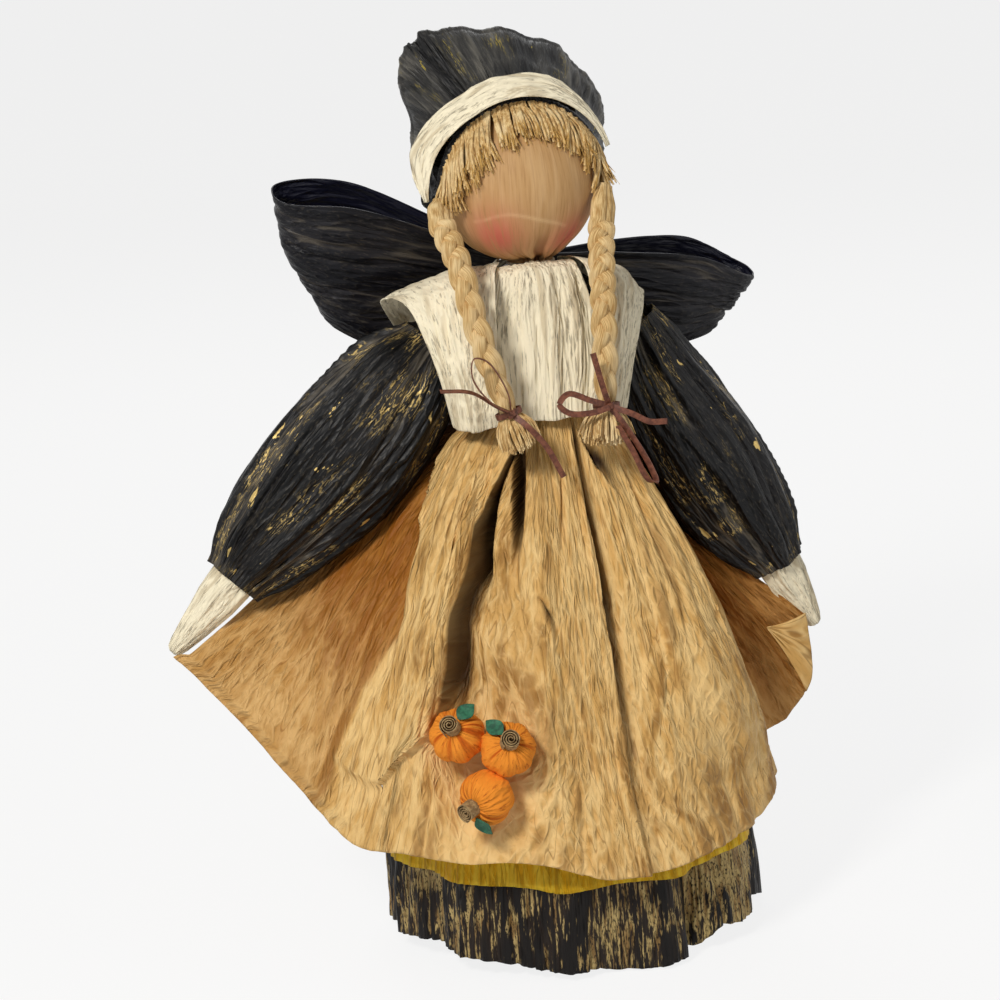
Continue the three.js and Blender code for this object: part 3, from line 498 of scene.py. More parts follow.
def face_finish(name, colour, deep, blush, pale, dark):
    """Face paper: fine upright grain, a pale crease across, rouge on both cheeks, and painted shade in the
    valleys of its gathers and in the folds under the chin.
    """
    f = Finish(name)
    lines, broad = f.streaks(110, 6, 4, 0.6), f.streaks(24, 3, 2, 0.5)
    base = f.mix(f.share(lines, 0.56, 0.32, 0.55), colour, deep)
    base = f.mix(f.share(broad, 0.42, 0.7, 0.3), base, pale)
    # Painted shade: the valleys of the gathers darken toward the deep colour.
    base = f.mix(f.share(f.mark("ridge"), 0.3, 0.0, 0.6), base, deep)
    base = f.mix(f.times(f.mark("line"), 0.6), base, pale)
    cheek = f.times(f.mark("tone"), f.ramp(f.number("ADD", lines, broad), 0.5, 1.1))
    base = f.mix(f.times(cheek, 0.95), base, blush)
    # Painted shade: the folds drawn together under the chin darken toward the dark colour.
    base = f.mix(f.times(f.mark("fold"), 0.7), base, dark)
    return f.finish(base, 0.6, lines, 0.0004, 0.35, specular=0.3)


def fibre_finish(name, colour, deep, cells, upright=None, rough=0.7, metallic=0.0):
    """Plain stuff with a grain of so many cells in a metre, or another number of them upright."""
    f = Finish(name)
    grain = f.noise(f.spot((cells, cells, upright or cells)), 4, 0.6)
    return f.finish(f.mix(f.ramp(grain, 0.35, 0.65), deep, colour), rough, grain, 0.0003, 0.4, metallic)


# Name, maker and colours of each finish, and what else its maker takes.
# A colour is a setting's name, or is given from 0 to 255.
FINISH_ROWS = {
    # Black papers: colour, deep for the painted shade in the valleys, grey for wear and painted highlight on
    # the crests, gold, and the bow's inside.
    "black": ("black_paper", black_paper, ["black", (10, 10, 12), (72, 70, 67), (150, 136, 70)], {}),
    "bonnet": ("bonnet_paper", black_paper, [(52, 51, 49), (16, 16, 17), (104, 101, 94), (164, 146, 66)],
               {"gold_share": 0.1, "flakes": 0.7}),
    "sleeve": ("sleeve_paper", black_paper, ["black", (6, 6, 7), (104, 97, 86), "gold"],
               {"gold_share": 0.75, "flakes": 0.66}),
    "bow": ("bow_paper", black_paper,
            [(30, 29, 33), (10, 10, 16), (86, 80, 72), (110, 98, 78), (14, 15, 30)],
            {"gold_share": -0.6, "flakes": 0.9}),
    # Gilt: colour, deep for the painted shade, gold, and pale for the painted highlight on the gold.
    "gilt": ("gilt_paper", gilt_paper, [(38, 30, 25), (17, 13, 11), (150, 120, 74), (196, 172, 116)], {}),
    # Cream and orange: colour, deep for the painted shade in the valleys, and the rub.
    "cream": ("cream_paper", streaked_paper, ["cream", (218, 204, 174), (146, 135, 114)],
              {"rub_share": 0.5}),
    "orange": ("orange_crepe", streaked_paper, ["orange", (196, 92, 20), (170, 80, 24)], {"rub_share": 0.2}),
    # Tan and mustard: colour, deep for the grain and the painted shade in the valleys and creases, light for
    # the patches and the crests, partly painted highlight, inner and glow for the painted shade in the
    # pockets, dark for the painted shade in the folds.
    "tan": ("tan_paper", plain_paper,
            ["tan", (146, 102, 48), (242, 206, 142), (142, 78, 0), (190, 120, 22), (40, 20, 6)], {}),
    "mustard": ("mustard_paper", plain_paper,
                ["mustard", (160, 122, 6), (240, 206, 60), (150, 110, 6), (190, 150, 10), (90, 66, 4)],
                {"fine": 1.6, "bump": 0.0008}),
    "straw": ("straw_paper", straw_finish, ["straw", (184, 144, 86), (246, 226, 180)], {}),
    "plait": ("plaited_straw", straw_finish, ["straw", (178, 136, 78), (240, 216, 168)], {"mapped": True}),
    "fray": ("frayed_straw", straw_finish, [(206, 166, 94), (164, 122, 58), (232, 200, 138)], {}),
    # Face: colour, deep for the grain and the painted shade in the gathers, blush, pale, and dark for the
    # painted shade under the chin.
    "face": ("face_paper", face_finish,
             ["face", (160, 116, 70), (204, 104, 86), (224, 190, 144), (112, 66, 40)], {}),
    "ribbon": ("brown_ribbon", fibre_finish, ["ribbon", (84, 44, 30)], {"cells": 500, "rough": 0.5}),
    "green": ("green_leaf", fibre_finish, [(48, 112, 82), (24, 70, 50)], {"cells": 400, "rough": 0.6}),
    "stem": ("rolled_stem", fibre_finish, [(176, 148, 104), (120, 94, 60)], {"cells": 600}),
    "foam": ("white_foam", fibre_finish, [(240, 238, 232), (222, 220, 214)], {"cells": 700, "rough": 0.9}),
    "wood": ("dowel_wood", fibre_finish, [(204, 172, 122), (168, 132, 84)],
             {"cells": 300, "upright": 20, "rough": 0.55}),
    "wire": ("bare_wire", fibre_finish, [(150, 150, 148), (110, 110, 108)],
             {"cells": 900, "rough": 0.35, "metallic": 1.0}),
    "thread": ("thread", fibre_finish, [(220, 212, 192), (168, 158, 136)], {"cells": 900, "rough": 0.8}),
}
# Finishes made so far, under their keys
FINISHES = {}


def finish_of(key):
    """The finish of that name, made when it is first asked for."""
    if key not in FINISHES:
        name, maker, colours, rest = FINISH_ROWS[key]
        given = [[255 * c for c in getattr(settings(), colour)] if isinstance(colour, str) else colour
                 for colour in colours]
        FINISHES[key] = maker(name, *(linear(colour) for colour in given), **rest)
    return FINISHES[key]


def dress(piece, body, finish, *nodes):
    """The piece rides on a body and stands for these solids, which it hides; finish is not used."""
    if nodes:
        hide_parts(*nodes)
    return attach(piece, body)


# Settings

def length(label, about, size, least=0.0):
    """Setting of a length, given in millimetres."""
    return bpy.props.FloatProperty(name=label, description=about, default=size * MM, min=least * MM,
                                   unit="LENGTH")


def count(label, about, number, least):
    """Setting of a number of strands."""
    return bpy.props.IntProperty(name=label, description=about, default=number, min=least)


def colour(label, *rgb):
    """Setting of a colour, given from 0 to 255."""
    return bpy.props.FloatVectorProperty(name=label, description="Colour of the " + label.lower(), size=3,
                                         min=0, max=1, subtype="COLOR_GAMMA",
                                         default=tuple(c / 255 for c in rgb))


class PaperDollSettings(bpy.types.PropertyGroup):
    """Sizes and colours of the dressed doll."""

    crinkle: length("Crinkle", "Depth of the creases in the paper", 1.0)
    gathers: length("Gathers", "Depth of the gathers below the apron's waist", 2.2)
    pleat: length("Pleat", "Height of the apron's broad front pleat", 5.0)
    sleeve_fold: length("Sleeve folds", "Depth of the folds along a sleeve", 5.2)
    fringe_count: count("Fringe strands", "Strands of raffia in the fringe", 260, 20)
    fringe_length: length("Fringe length", "Length of a strand of the fringe", 23.0, 5.0)
    tuft_count: count("Tuft strands", "Strands below each plait's ribbon", 300, 10)
    strand_width: length("Strand width", "Width of a strand of raffia", 0.95, 0.1)
    light: bpy.props.FloatProperty(name="Light", description="Power of the main lamp", default=19.0, min=0,
                                   unit="POWER")
    black: colour("Black paper", 26, 25, 26)
    gold: colour("Gold rub", 206, 178, 112)
    cream: colour("Cream paper", 250, 240, 212)
    tan: colour("Apron paper", 216, 170, 100)
    mustard: colour("Overskirt paper", 224, 168, 4)
    straw: colour("Raffia", 228, 198, 142)
    face: colour("Face paper", 190, 150, 100)
    ribbon: colour("Ribbon", 124, 74, 54)
    orange: colour("Pumpkin crepe", 242, 148, 50)


def settings():
    """The doll's settings in this scene."""
    return bpy.context.scene.paper_doll


# Skirts

# Rise from hem to waist, and how far the skirt spreads there
BELL = [(0, 1), (0.16, 0.985), (0.36, 0.84), (0.58, 0.6), (0.8, 0.26), (0.93, 0.03), (1, 0)]
FLUTES, FLUTE_DEPTH = 11, 2.8
LEFT_LEAN = 5.0  # how far the hem stands out at the doll's left
LAP_TURN = 154.0  # where the ends of the paper overlap, in degrees round from the back
LIFT_TURN, LIFT_SPREAD = 242.0, 34.0  # where the hem rises, and half of how far that reaches


def skirt_radius(turn, height, pitch):
    """Reach of a skirt from the doll's axis; pitch is how far the layer lies outside the underskirt."""
    rise = height / WAIST_TOP
    spread = even_spline(BELL, rise)[..., 1]
    wave = FLUTE_DEPTH * (np.cos(FLUTES * turn) + 0.35 * np.sin(5 * turn + 1))
    lean = LEFT_LEAN * np.maximum(0, np.sin(turn))
    flutes = np.maximum(0, 1 - 1.15 * rise) * (wave + lean)
    return SKIRT_TOP_RADIUS + (HEM_RADIUS - SKIRT_TOP_RADIUS) * spread + flutes + pitch


def skirt_shape(low, pitch, lap, ragged, seed):
    """Bell of a skirt from its hem at v 0 to the waist; lap is the depth of the fold beside its overlap."""
    def at(u, v):
        turn = 2 * np.pi * u
        height = low + (WAIST_TOP - low) * v
        past = np.degrees(turn) - LAP_TURN
        fold = 0.25 * bell(past, -12, 9) - bell(past, 0, 4)
        radius = skirt_radius(turn, height, pitch) + lap * fold * (1 - smooth(v, 0.2, 0.6))
        corner = 0.85 * between(-past, 2, 10, 30, 60)
        side = bell(np.degrees(turn), LIFT_TURN, LIFT_SPREAD)
        lift = lap * (corner + side) * (1 - smooth(v, 0.0, 0.3))
        edge = ragged * field(u, v, 40, 1, seed, ring=True) * (1 - smooth(v, 0.0, 0.12))
        return np.stack([radius * np.sin(turn), radius * np.cos(turn), height + lift + edge], -1)
    return at


def gilt_patch(u, v):
    """1 where the underskirt's gold is brushed on most thickly."""
    return between(u, 0.31, 0.34, 0.425, 0.435)


class DOLL_OT_skirts(bpy.types.Operator):
    """Makes the gilt underskirt and the mustard overskirt"""

    bl_idname = "paper_doll.skirts"
    bl_label = "Skirts"

    def execute(self, context):
        size = (500.0, 246.0)
        shape = skirt_shape(low=UNDERSKIRT_HEM, pitch=0.0, lap=9.0, ragged=2.6, seed=3)
        under = paper_sheet("gilt_underskirt", shape, 420, 110, size, finish_of("gilt"), ring=True,
                            relief=crinkle(3.0, size, across=5.0, along=70, seed=11, ring=True),
                            tone=gilt_patch)
        dress(under, "torso", "gilt", "underskirt")
        size = (515.0, 202.0)
        shape = skirt_shape(low=OVERSKIRT_HEM, pitch=LAYER_PITCH, lap=3.0, ragged=1.2, seed=5)
        over = paper_sheet("crepe_overskirt", shape, 420, 90, size, finish_of("mustard"), ring=True,
                           relief=crinkle(1.2, size, across=2.4, along=120, seed=21, ring=True))
        dress(over, "torso", "mustard", "overskirt")
        return {"FINISHED"}


# Apron

def by_hand(side, *offset):
    """Place beside the tip of a hand."""
    turn = math.radians(ARM_ANGLE[side])
    reach = HAND_START + HAND_LENGTH[side]
    return tuple(SHOULDER[side] + reach * np.array([math.cos(turn), 0, -math.sin(turn)]) + np.array(offset))


# Turn of each rib at the waist in degrees, and its three steps down to the edge
APRON_RIBS = [
    (-92, (-60, 24, 219), by_hand("right", 53, 12.5, 26.3), by_hand("right", -1, -13.5, -2.7)),
    (-84, (-62, 8, 203), by_hand("right", 59, -5.5, 11.3), by_hand("right", 18, -21.5, -23.7)),
    (-76, (-61, -8, 197), by_hand("right", 71, -25.5, -4.7), by_hand("right", 42, -39.5, -56.7)),
    (-68, (-58, -24, 192), (-86, -42, 130), (-112, -50, 68)),
    (-58, (-54, -52, 188), (-76, -68, 134), (-92, -70, 66.5)),
    (-45, (-42, -48, 176), (-59, -62, 124), (-68, -82, 62)),
    (-27, (-24, -67, 172), (-30, -85, 110), (-38, -94, 60)),
    (-9, (-8, -62, 172), (-10, -81, 108), (-8, -96, 49.5)),
    (10, (6, -63, 165), (6, -82, 100), (10, -96, 49.5)),
    (28, (23, -59, 165), (30, -80, 105), (35, -90, 52.5)),
    (45, (42, -52, 168), (60, -64, 110), (68, -63, 53)),
    (58, (54, -40, 168), (77, -42, 108), (88, -36, 63)),
    (68, (50, -14, 172), (75, -10, 118), (92, -7, 71)),
    (76, (46, 0, 182), (80, 8, 130), (109, 3, 78)),
    (82, (47, 9, 190), by_hand("left", -42.5, -1.5, 22.6), by_hand("left", -7, -4.5, -26.4)),
    (87, (50, 14, 196), by_hand("left", -40.5, 1.5, 31), by_hand("left", -5.5, -5, -11.4)),
    (92, (52, 18, 201), by_hand("left", -39, 4.5, 39), by_hand("left", -6, -6, 7.6)),
]
RIGHT_SEAM, LEFT_SEAM, LAST_RIB = 3.4, 11.6, 16.0
APRON_FLAT = (430.0, 210.0)  # the whole apron laid out
APRON_CLEARANCE = 1.6  # least gap to the overskirt
HEM_CURL = 5.0
FLAP_START = 13.75  # rib from which the corner is turned over
PLEAT_MIDDLE = 4.6  # rib near which the broad pleat's right edge falls
LONG_CREASE = 7.98  # rib of the long crease down the front
HOLE_DROP = (0.1, 0.045)  # middle and half height of the gap beside that crease, as shares of the drop
# The two edges of the broad pleat: shares of the drop, and the rib at each
PLEAT_LEFT = ([0, 0.17, 0.3, 0.36, 0.45, 0.53, 0.7, 0.88], [1.6, 1.8, 2.6, 2.88, 2.9, 2.98, 2.6, 2.5])
PLEAT_RIGHT = ([0, 0.07, 0.16, 0.24, 0.34, 0.49, 0.59, 0.68, 0.75, 0.81, 0.88],
               [5.6, 5.48, 4.98, 4.58, 4.55, 4.42, 4.58, 4.55, 4.3, 3.7, 3.3])


def overlap(rib, edge, depth, recover, soft=0.035):
    """Drop beside the edge of a fold that lies over the paper on its right."""
    past = np.maximum(rib - edge, 0)
    return -depth * smooth(rib, edge - soft, edge + soft) * np.exp(-((past / recover) ** 1.6))


def hole_edge(drop):
    """Rib where the paper gapes beside the long crease."""
    return 8.75 + 7 * (drop - HOLE_DROP[0])


def slit_edge(drop):
    """Rib of the short slanting fold above the pumpkins."""
    return 6.0 + 5.4 * (drop - 0.36)


def valley_edges(drop):
    """Ribs between which the two dark valleys lie, beside the broad pleat and beside the narrow one."""
    right = np.interp(drop, *PLEAT_RIGHT)
    bound = np.maximum(right + 0.1, np.interp(drop, [0, 0.2, 0.5, 0.8], [5.4, 5.12, 5.08, 4.9]))
    end = np.interp(drop, [0, 0.07, 0.18, 0.26, 0.36], [5.94, 5.9, 5.8, 5.68, 5.55])
    return right, bound, 5.42 + 0.32 * drop, end


def valleys(rib, drop):
    """1 in each of the two valleys below the waist."""
    right, bound, start, end = valley_edges(drop)
    wide = between(rib, right - 0.03, right + 0.04, bound - 0.3, bound + 0.04)
    narrow = between(rib, start - 0.03, start + 0.04, end - 0.16, end + 0.03)
    return wide * (1 - smooth(drop, 0.28, 0.42)), narrow * (1 - smooth(drop, 0.2, 0.36))


def apron_folds(rib, drop):
    """Outward reach of the gathers, pleats and creases in the apron, in millimetres."""
    s = settings()
    left, right = np.interp(drop, *PLEAT_LEFT), np.interp(drop, *PLEAT_RIGHT)
    start, deep = smooth(drop, 0.015, 0.1), smooth(drop, -0.02, 0.13)
    gather = (crest(rib / LAST_RIB, drop, 44, 1.6, 31) - 0.4) * start * (1 - 0.75 * smooth(drop, 0.25, 0.75))
    billow = 3.0 * (field(rib / LAST_RIB, drop, 15, 2.2, 32) - 0.5) * smooth(drop, 0.1, 0.3)
    loose = 0.05 + 0.4 * smooth(drop, 0.5, 0.62)
    pleat = between(rib, left - loose, left + loose, right - 0.035, right + 0.035)
    pleat = pleat * start * (1 - smooth(drop, 0.845, 0.885))
    behind = np.exp(-(np.maximum(left - rib, 0) ** 1.6)) * (rib < left)
    behind = 6.0 * behind * start * (1 - smooth(drop, 0.48, 0.6))
    wide, narrow = valleys(rib, drop)
    valley = deep * np.maximum(18.0 * wide, 16.0 * narrow)
    slope = 8.9 + 2.6 * (drop - 0.33)
    sunk = 3.6 * between(rib, 8.0, 8.3, slope - 0.25, slope + 0.15) * between(drop, 0.3, 0.42, 0.85, 1.0)
    crack = np.interp(drop, [0.6, 0.67, 0.77, 1], [6.33, 6.5, 6.62, 6.6])
    # Edge and depth of each lesser fold, how far on the paper rises again, and how soft the edge is
    laps = [
        (right, 12.0 * between(drop, 0.24, 0.38, 0.62, 0.76), 0.6),
        (slit_edge(drop), 5.5 * between(drop, 0.34, 0.37, 0.4, 0.46), 0.18),
        (LONG_CREASE, 11.0 * deep * (1 - 0.7 * smooth(drop, 0.25, 0.8)), 0.46 - 0.2 * drop, 0.022),
        (crack, 2.0 * smooth(drop, 0.55, 0.65), 0.1),
        (7.4 - 2.3 * drop, 3.0 * between(drop, 0.1, 0.15, 0.22, 0.3), 0.16),
        (hole_edge(drop), 6.0 * bell(drop, *HOLE_DROP), 0.35, 0.03),
        (9.9 - 0.6 * drop, 3.5 * start * (1 - smooth(drop, 0.3, 0.6)), 0.3),
        (11.0 - 0.5 * drop, 3.0 * start * (1 - smooth(drop, 0.4, 0.8)), 0.3),
    ]
    raised = s.gathers / MM * gather + billow + s.pleat / MM * pleat
    return raised - behind - valley - sunk + sum(overlap(rib, *lap) for lap in laps)


def apron_point(rib, drop):
    """Point of the apron at a rib, counted from the right hand, and at a share of its drop."""
    routes = []
    for turn, *steps in APRON_RIBS:
        across, forward = math.sin(math.radians(turn)), math.cos(math.radians(turn))
        routes.append([(APRON_WAIST_RADIUS * across, -APRON_WAIST_RADIUS * forward, APRON_TOP), *steps])
    drops, row = np.unique(drop.ravel(), return_inverse=True)
    curves = np.stack([spline(route, drops) for route in routes])
    spots = np.empty((rib.size, 3))
    for k in range(len(drops)):
        here = np.nonzero(row == k)[0]
        spots[here] = spline(curves[:, k], rib.ravel()[here] / LAST_RIB)
    spots = spots.reshape(*rib.shape, 3)
    outward = spots * np.array([1.0, 1.0, 0.0])
    reach = np.linalg.norm(outward, axis=-1)
    turn = np.arctan2(spots[..., 0], spots[..., 1])
    inside = skirt_radius(turn, spots[..., 2], LAYER_PITCH) + APRON_CLEARANCE
    folds = np.maximum(apron_folds(rib, drop), np.minimum(inside - reach, 0))
    return spots + outward * (folds / reach)[..., None]


def on_panel(first, last, of_rib):
    """Turns a function of rib and drop into one of the places on a panel between two ribs.

    The columns near the broad pleat follow its edge, so that it stays crisp.
    """
    def at(u, v):
        rib = first + (last - first) * u
        shift = np.clip(np.interp(v, *PLEAT_RIGHT) - PLEAT_MIDDLE, -0.7, 1.0)
        return of_rib(rib + shift * between(rib, RIGHT_SEAM, PLEAT_MIDDLE, PLEAT_MIDDLE, 7.0), v)
    return at


def apron_surface(rib, drop):
    """The apron with the curl and the wave of its lower edge."""
    curl = HEM_CURL * smooth(drop, 0.955, 1.0) * (1 - smooth(rib, 2.6, 3.3))
    wave = 1.4 * (field(rib / LAST_RIB, drop, 26, 1, 37) - 0.5) * smooth(drop, 0.9, 1.0)
    return apron_point(rib, drop) + np.stack([0 * curl, 1.2 * curl, 0.5 * curl + wave], -1)


def apron_relief(rib, drop):
    """Crinkles that run from the waist to the edge, on one pattern for the whole apron."""
    fine = creases(rib / LAST_RIB, drop, APRON_FLAT, across=4.6, along=19, seed=41)
    broad = creases(rib / LAST_RIB, drop, APRON_FLAT, across=13.0, along=64, seed=47)
    return settings().crinkle / MM * (0.8 * fine + 2.4 * broad) * (0.4 + 0.6 * smooth(drop, 0.05, 0.4))


def pocket_shade(rib, drop):
    """1 where orange-brown painted shade lies in the pockets behind the apron's front, under the sleeves."""
    left = np.interp(drop, *PLEAT_LEFT)
    behind = (1 - smooth(rib, left - 0.12, left)) * (1 - 0.6 * smooth(drop, 0.45, 0.85))
    beside = smooth(rib, 11.7, 12.4) * (1 - 0.35 * smooth(drop, 0.6, 1.0))
    return np.maximum(behind, beside)


def shaded(rib, drop):
    """Painted shade: 1 deep in the apron's valleys, beside its long crease and other folds, and under the
    sleeve near the waist.
    """
    left, hole, slit = np.interp(drop, *PLEAT_LEFT), hole_edge(drop), slit_edge(drop)
    right, bound, start, end = valley_edges(drop)
    lower = smooth(drop, 0.26, 0.4)
    near, far = (bound + a + lower * (right + b - bound - a) for a, b in ((-0.08, 0.06), (0.03, 0.62)))
    wide = between(rib, right - 0.05, right - 0.01, near, far) * (1 - smooth(drop, 0.62, 0.75))
    narrow = between(rib, start - 0.05, start - 0.01, end - 0.06, end + 0.02) * (1 - smooth(drop, 0.2, 0.34))
    crease = between(rib, LONG_CREASE - 0.01, LONG_CREASE + 0.04, 8.1, 8.48 - 0.2 * drop)
    gloom = (1 - smooth(rib, left - 0.35, left - 0.02)) * (1 - smooth(drop, 0.08, 0.32))
    return smooth(drop, 0.0, 0.06) * np.maximum.reduce([
        0.95 * wide,
        0.95 * narrow,
        crease * (0.9 - 0.7 * smooth(drop, 0.3, 0.9)),
        between(rib, hole - 0.04, hole, hole + 0.25, hole + 0.55) * bell(drop, *HOLE_DROP),
        between(rib, slit - 0.02, slit + 0.02, slit + 0.06, slit + 0.13) * bell(drop, 0.385, 0.024),
        0.8 * bell(rib, left - 0.04, 0.07) * (1 - smooth(drop, 0.5, 0.6)),
        0.85 * gloom,
    ])


def corner_flap(u, v):
    """The turned-over corner beside the left hand, a triangle that narrows from its fold to a point."""
    rib = FLAP_START + (LAST_RIB - FLAP_START) * u
    outer = apron_point(rib, 0 * u + 0.995)
    inner = apron_point(0 * u + 14.1, 0 * u + 0.8) + np.array([0.6, -3.4, 0.0])
    spot = outer + (inner - outer) * v[..., None]
    lift = 1.2 + 2.0 * np.sin(np.pi * v)
    return spot + np.stack([0.4 * lift, -lift, 0 * lift], -1)


def hang_wing(piece, solid):
    """Bakes the place of a wing, or of the corner flap, into its points."""
    if solid == "apron_right_wing":
        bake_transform(piece)
    else:
        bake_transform(piece)


# Name, solid, first and last rib, columns and rows, flat size and area in metres
APRON_PANELS = [
    ("apron_front_paper", "apron_front", RIGHT_SEAM, LEFT_SEAM, (285, 165), (0.23, 0.2), 0.042),
    ("apron_right_paper", "apron_right_wing", 0.0, RIGHT_SEAM, (120, 150), (0.12, 0.17), 0.0155),
    ("apron_left_paper", "apron_left_wing", LEFT_SEAM, LAST_RIB, (110, 130), (0.085, 0.15), 0.0098),
]


class DOLL_OT_apron(bpy.types.Operator):
    """Makes the gathered apron with its two held-out wings and turned corner"""

    bl_idname = "paper_doll.apron"
    bl_label = "Apron"

    def execute(self, context):
        tan = finish_of("tan")
        for name, solid, first, last, counts, flat, area in APRON_PANELS:
            # tone carries the painted shade in the pockets, and shade the painted shade in the valleys and
            # folds.
            surface, relief, tone, shade = (on_panel(first, last, of_rib) for of_rib in
                                            (apron_surface, apron_relief, pocket_shade, shaded))
            piece = paper_sheet(name, surface, *counts, millimetres(flat), tan, relief=relief, tone=tone,
                                shade=shade)
            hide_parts(solid)
            if solid == "apron_front":
                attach(piece, "torso")
            else:
                hang_wing(piece, solid)
        flap = paper_sheet("apron_corner_flap", corner_flap, 36, 30, (12.0, 10.0), tan,
                           relief=crinkle(0.3, (40.0, 34.0), across=9, along=30, seed=61))
        hang_wing(flap, "apron_left_wing")
        return {"FINISHED"}


# Bodice and collar

# Share of the bodice's height, half width and half depth
BODICE_ROWS = np.array([(0, 24, 24), (0.16, 24, 24), (0.42, 31.7, 25), (0.62, 36, 26), (0.8, 33.1, 22.9),
                        (0.93, 19.8, 16.1), (1, 11, 11)])
COLLAR_PLEAT = 0.7
WAIST_THREAD, NECK_THREAD = 0.8, 0.6  # half thickness of the two ties
THREAD_TWISTS = 45
NECK_TIE_HEIGHT, NECK_TIE_RADIUS = 299.0, 10.0


def bodice_shape(u, v):
    """Padded body from the waist to the neck."""
    turn = 2 * np.pi * u
    wide, deep = (np.interp(v, BODICE_ROWS[:, 0], BODICE_ROWS[:, k]) for k in (1, 2))
    return np.stack([wide * np.sin(turn), deep * np.cos(turn), BODICE_BOTTOM + v * BODICE_HEIGHT], -1)


def collar_panel(edges, pleats):
    """Collar piece across edges of points, given as x, y and the drop below the neck."""
    edges = [[(x, y, NECK_HEIGHT - below) for x, y, below in edge] for edge in edges]

    def at(u, v):
        spots = spline(np.stack([spline(edge, v[0]) for edge in edges]), u[:, 0])
        outward = unit(spots * np.array([1.0, 1.0, 0.0]))
        return spots + outward * (COLLAR_PLEAT * np.sin(2 * np.pi * pleats * u))[..., None]
    return at


# Name, solid, pleats, flat size in metres, columns and rows, and edges of each piece
COLLAR = [
    ("collar_bib_paper", "collar_bib", 4, (0.048, 0.066), (70, 90),
     [[(-18, -10, -2), (-20, -16, -0.5), (-25, -22, 20), (-26, -31.5, 57)],
      [(-2, -12.5, -3.2), (-2, -20, -1.5), (-2, -26.6, 20), (-6, -37.5, 61)],
      [(15, -11, -2), (16, -17, -0.5), (20, -23.5, 20), (15, -36, 59)]]),
    ("collar_right_paper", "collar_right_lappet", 2, (0.036, 0.135), (60, 150),
     [[(-56, 24, 26), (-66, 5, 9), (-60, -16, 9), (-52, -28, 34), (-45, -23, 62)],
      [(-38, 24, 20), (-40, 4, 1), (-42, -24, 2), (-42, -36, 32), (-40, -33, 63)],
      [(-21, 23, 11), (-13.5, 3, -1.6), (-22, -22, -1.5), (-28, -39, 30), (-30, -41, 60)]]),
    ("collar_left_paper", "collar_left_lappet", 2, (0.031, 0.13), (60, 150),
     [[(21, 23, 11), (13.5, 3, -1.6), (18, -22, -1), (15, -39, 30), (10, -42, 57)],
      [(36, 24, 20), (36, 4, 5), (34, -23, 6), (27, -36, 32), (20, -41, 61)],
      [(48, 23, 28), (51, 5, 17), (45, -16, 19), (37, -28, 36), (29, -35, 60)]]),
    ("collar_nape_paper", "collar_back", 2, (0.032, 0.014), (40, 16),
     [[(-12, 12, -0.5), (-18, 23, 8)], [(0, 13, -0.5), (0, 24, 7)], [(12, 12, -0.5), (18, 23, 8)]]),
]


def thread_ring(name, height, radius, half):
    """Twisted two-ply thread tied in a ring round the doll's axis."""
    columns, rows = 400, 10
    i, j = np.indices((columns, rows))
    turn, roll = 2 * np.pi * i / columns, 2 * np.pi * j / rows
    lobe = half * (0.78 + 0.22 * np.abs(np.cos(roll)))
    twist = roll + THREAD_TWISTS * turn
    reach = radius + lobe * np.cos(twist)
    points = np.stack([reach * np.cos(turn), reach * np.sin(turn), height + lobe * np.sin(twist)], -1)
    n, m = (i + 1) % columns, (j + 1) % rows
    faces = np.stack([i * rows + j, n * rows + j, n * rows + m, i * rows + m], -1).reshape(-1, 4)
    return make_piece(name, points.reshape(-1, 3), faces, finish_of("thread"))


class DOLL_OT_bodice(bpy.types.Operator):
    """Makes the black bodice, the pieces of the collar and the tie round the waist"""

    bl_idname = "paper_doll.bodice"
    bl_label = "Bodice and collar"

    def execute(self, context):
        size = (200.0, 80.0)
        piece = round_form("bodice_paper", bodice_shape, 150, 60, size, finish_of("black"),
                           relief=crinkle(1.0, size, across=6, along=34, seed=71, ring=True))
        dress(piece, "torso", "black", "bodice")
        for k, (name, solid, pleats, flat, counts, edges) in enumerate(COLLAR):
            size = millimetres(flat)
            piece = paper_sheet(name, collar_panel(edges, pleats), *counts, size, finish_of("cream"),
                                relief=crinkle(1.5, size, across=5.2, along=40, seed=81 + 5 * k))
            dress(piece, "torso", "cream", solid)
        low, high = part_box("waist_tie")
        height, radius = (low.z + high.z) / 2 / MM, (high.x - low.x) / 2 / MM - WAIST_THREAD
        tie = thread_ring("waist_thread", height, radius, WAIST_THREAD)
        dress(tie, "torso", "thread", "waist_tie")
        return {"FINISHED"}


# Back bow

LOOP_START = 9.5  # from the bow's middle to where a loop leaves the knot
KNOT_HALF = (8.8, 7.0, 13.3)


def bow_loop(tip, across, reaches, half_width, thickness, slant):
    """Loop of the bow from its middle to its tip and back; slant draws in the lower corner of the tip."""
    length = np.linalg.norm(tip)
    out = unit(tip)
    width = unit(np.asarray(across) - np.dot(across, out) * out)
    back = np.cross(out, width)

    def at(u, v):
        side = np.where(u < 0.5, -1.0, 1.0)
        along = np.sin(np.pi * u)
        opening = side * thickness * np.abs(np.cos(np.pi * u)) ** 0.7 * np.maximum(along, 0) ** 1.1
        edge = even_spline(reaches, along)[..., 1] * half_width * (2 * v - 1)
        lean = np.where(v < 0.5, slant, 0.42) * edge
        reach = LOOP_START + (length - LOOP_START + lean) * along
        offset = opening + side * 1.1 * (1 - along)
        return BOW_CENTRE + out * reach[..., None] + width * edge[..., None] + back * offset[..., None]
    return at


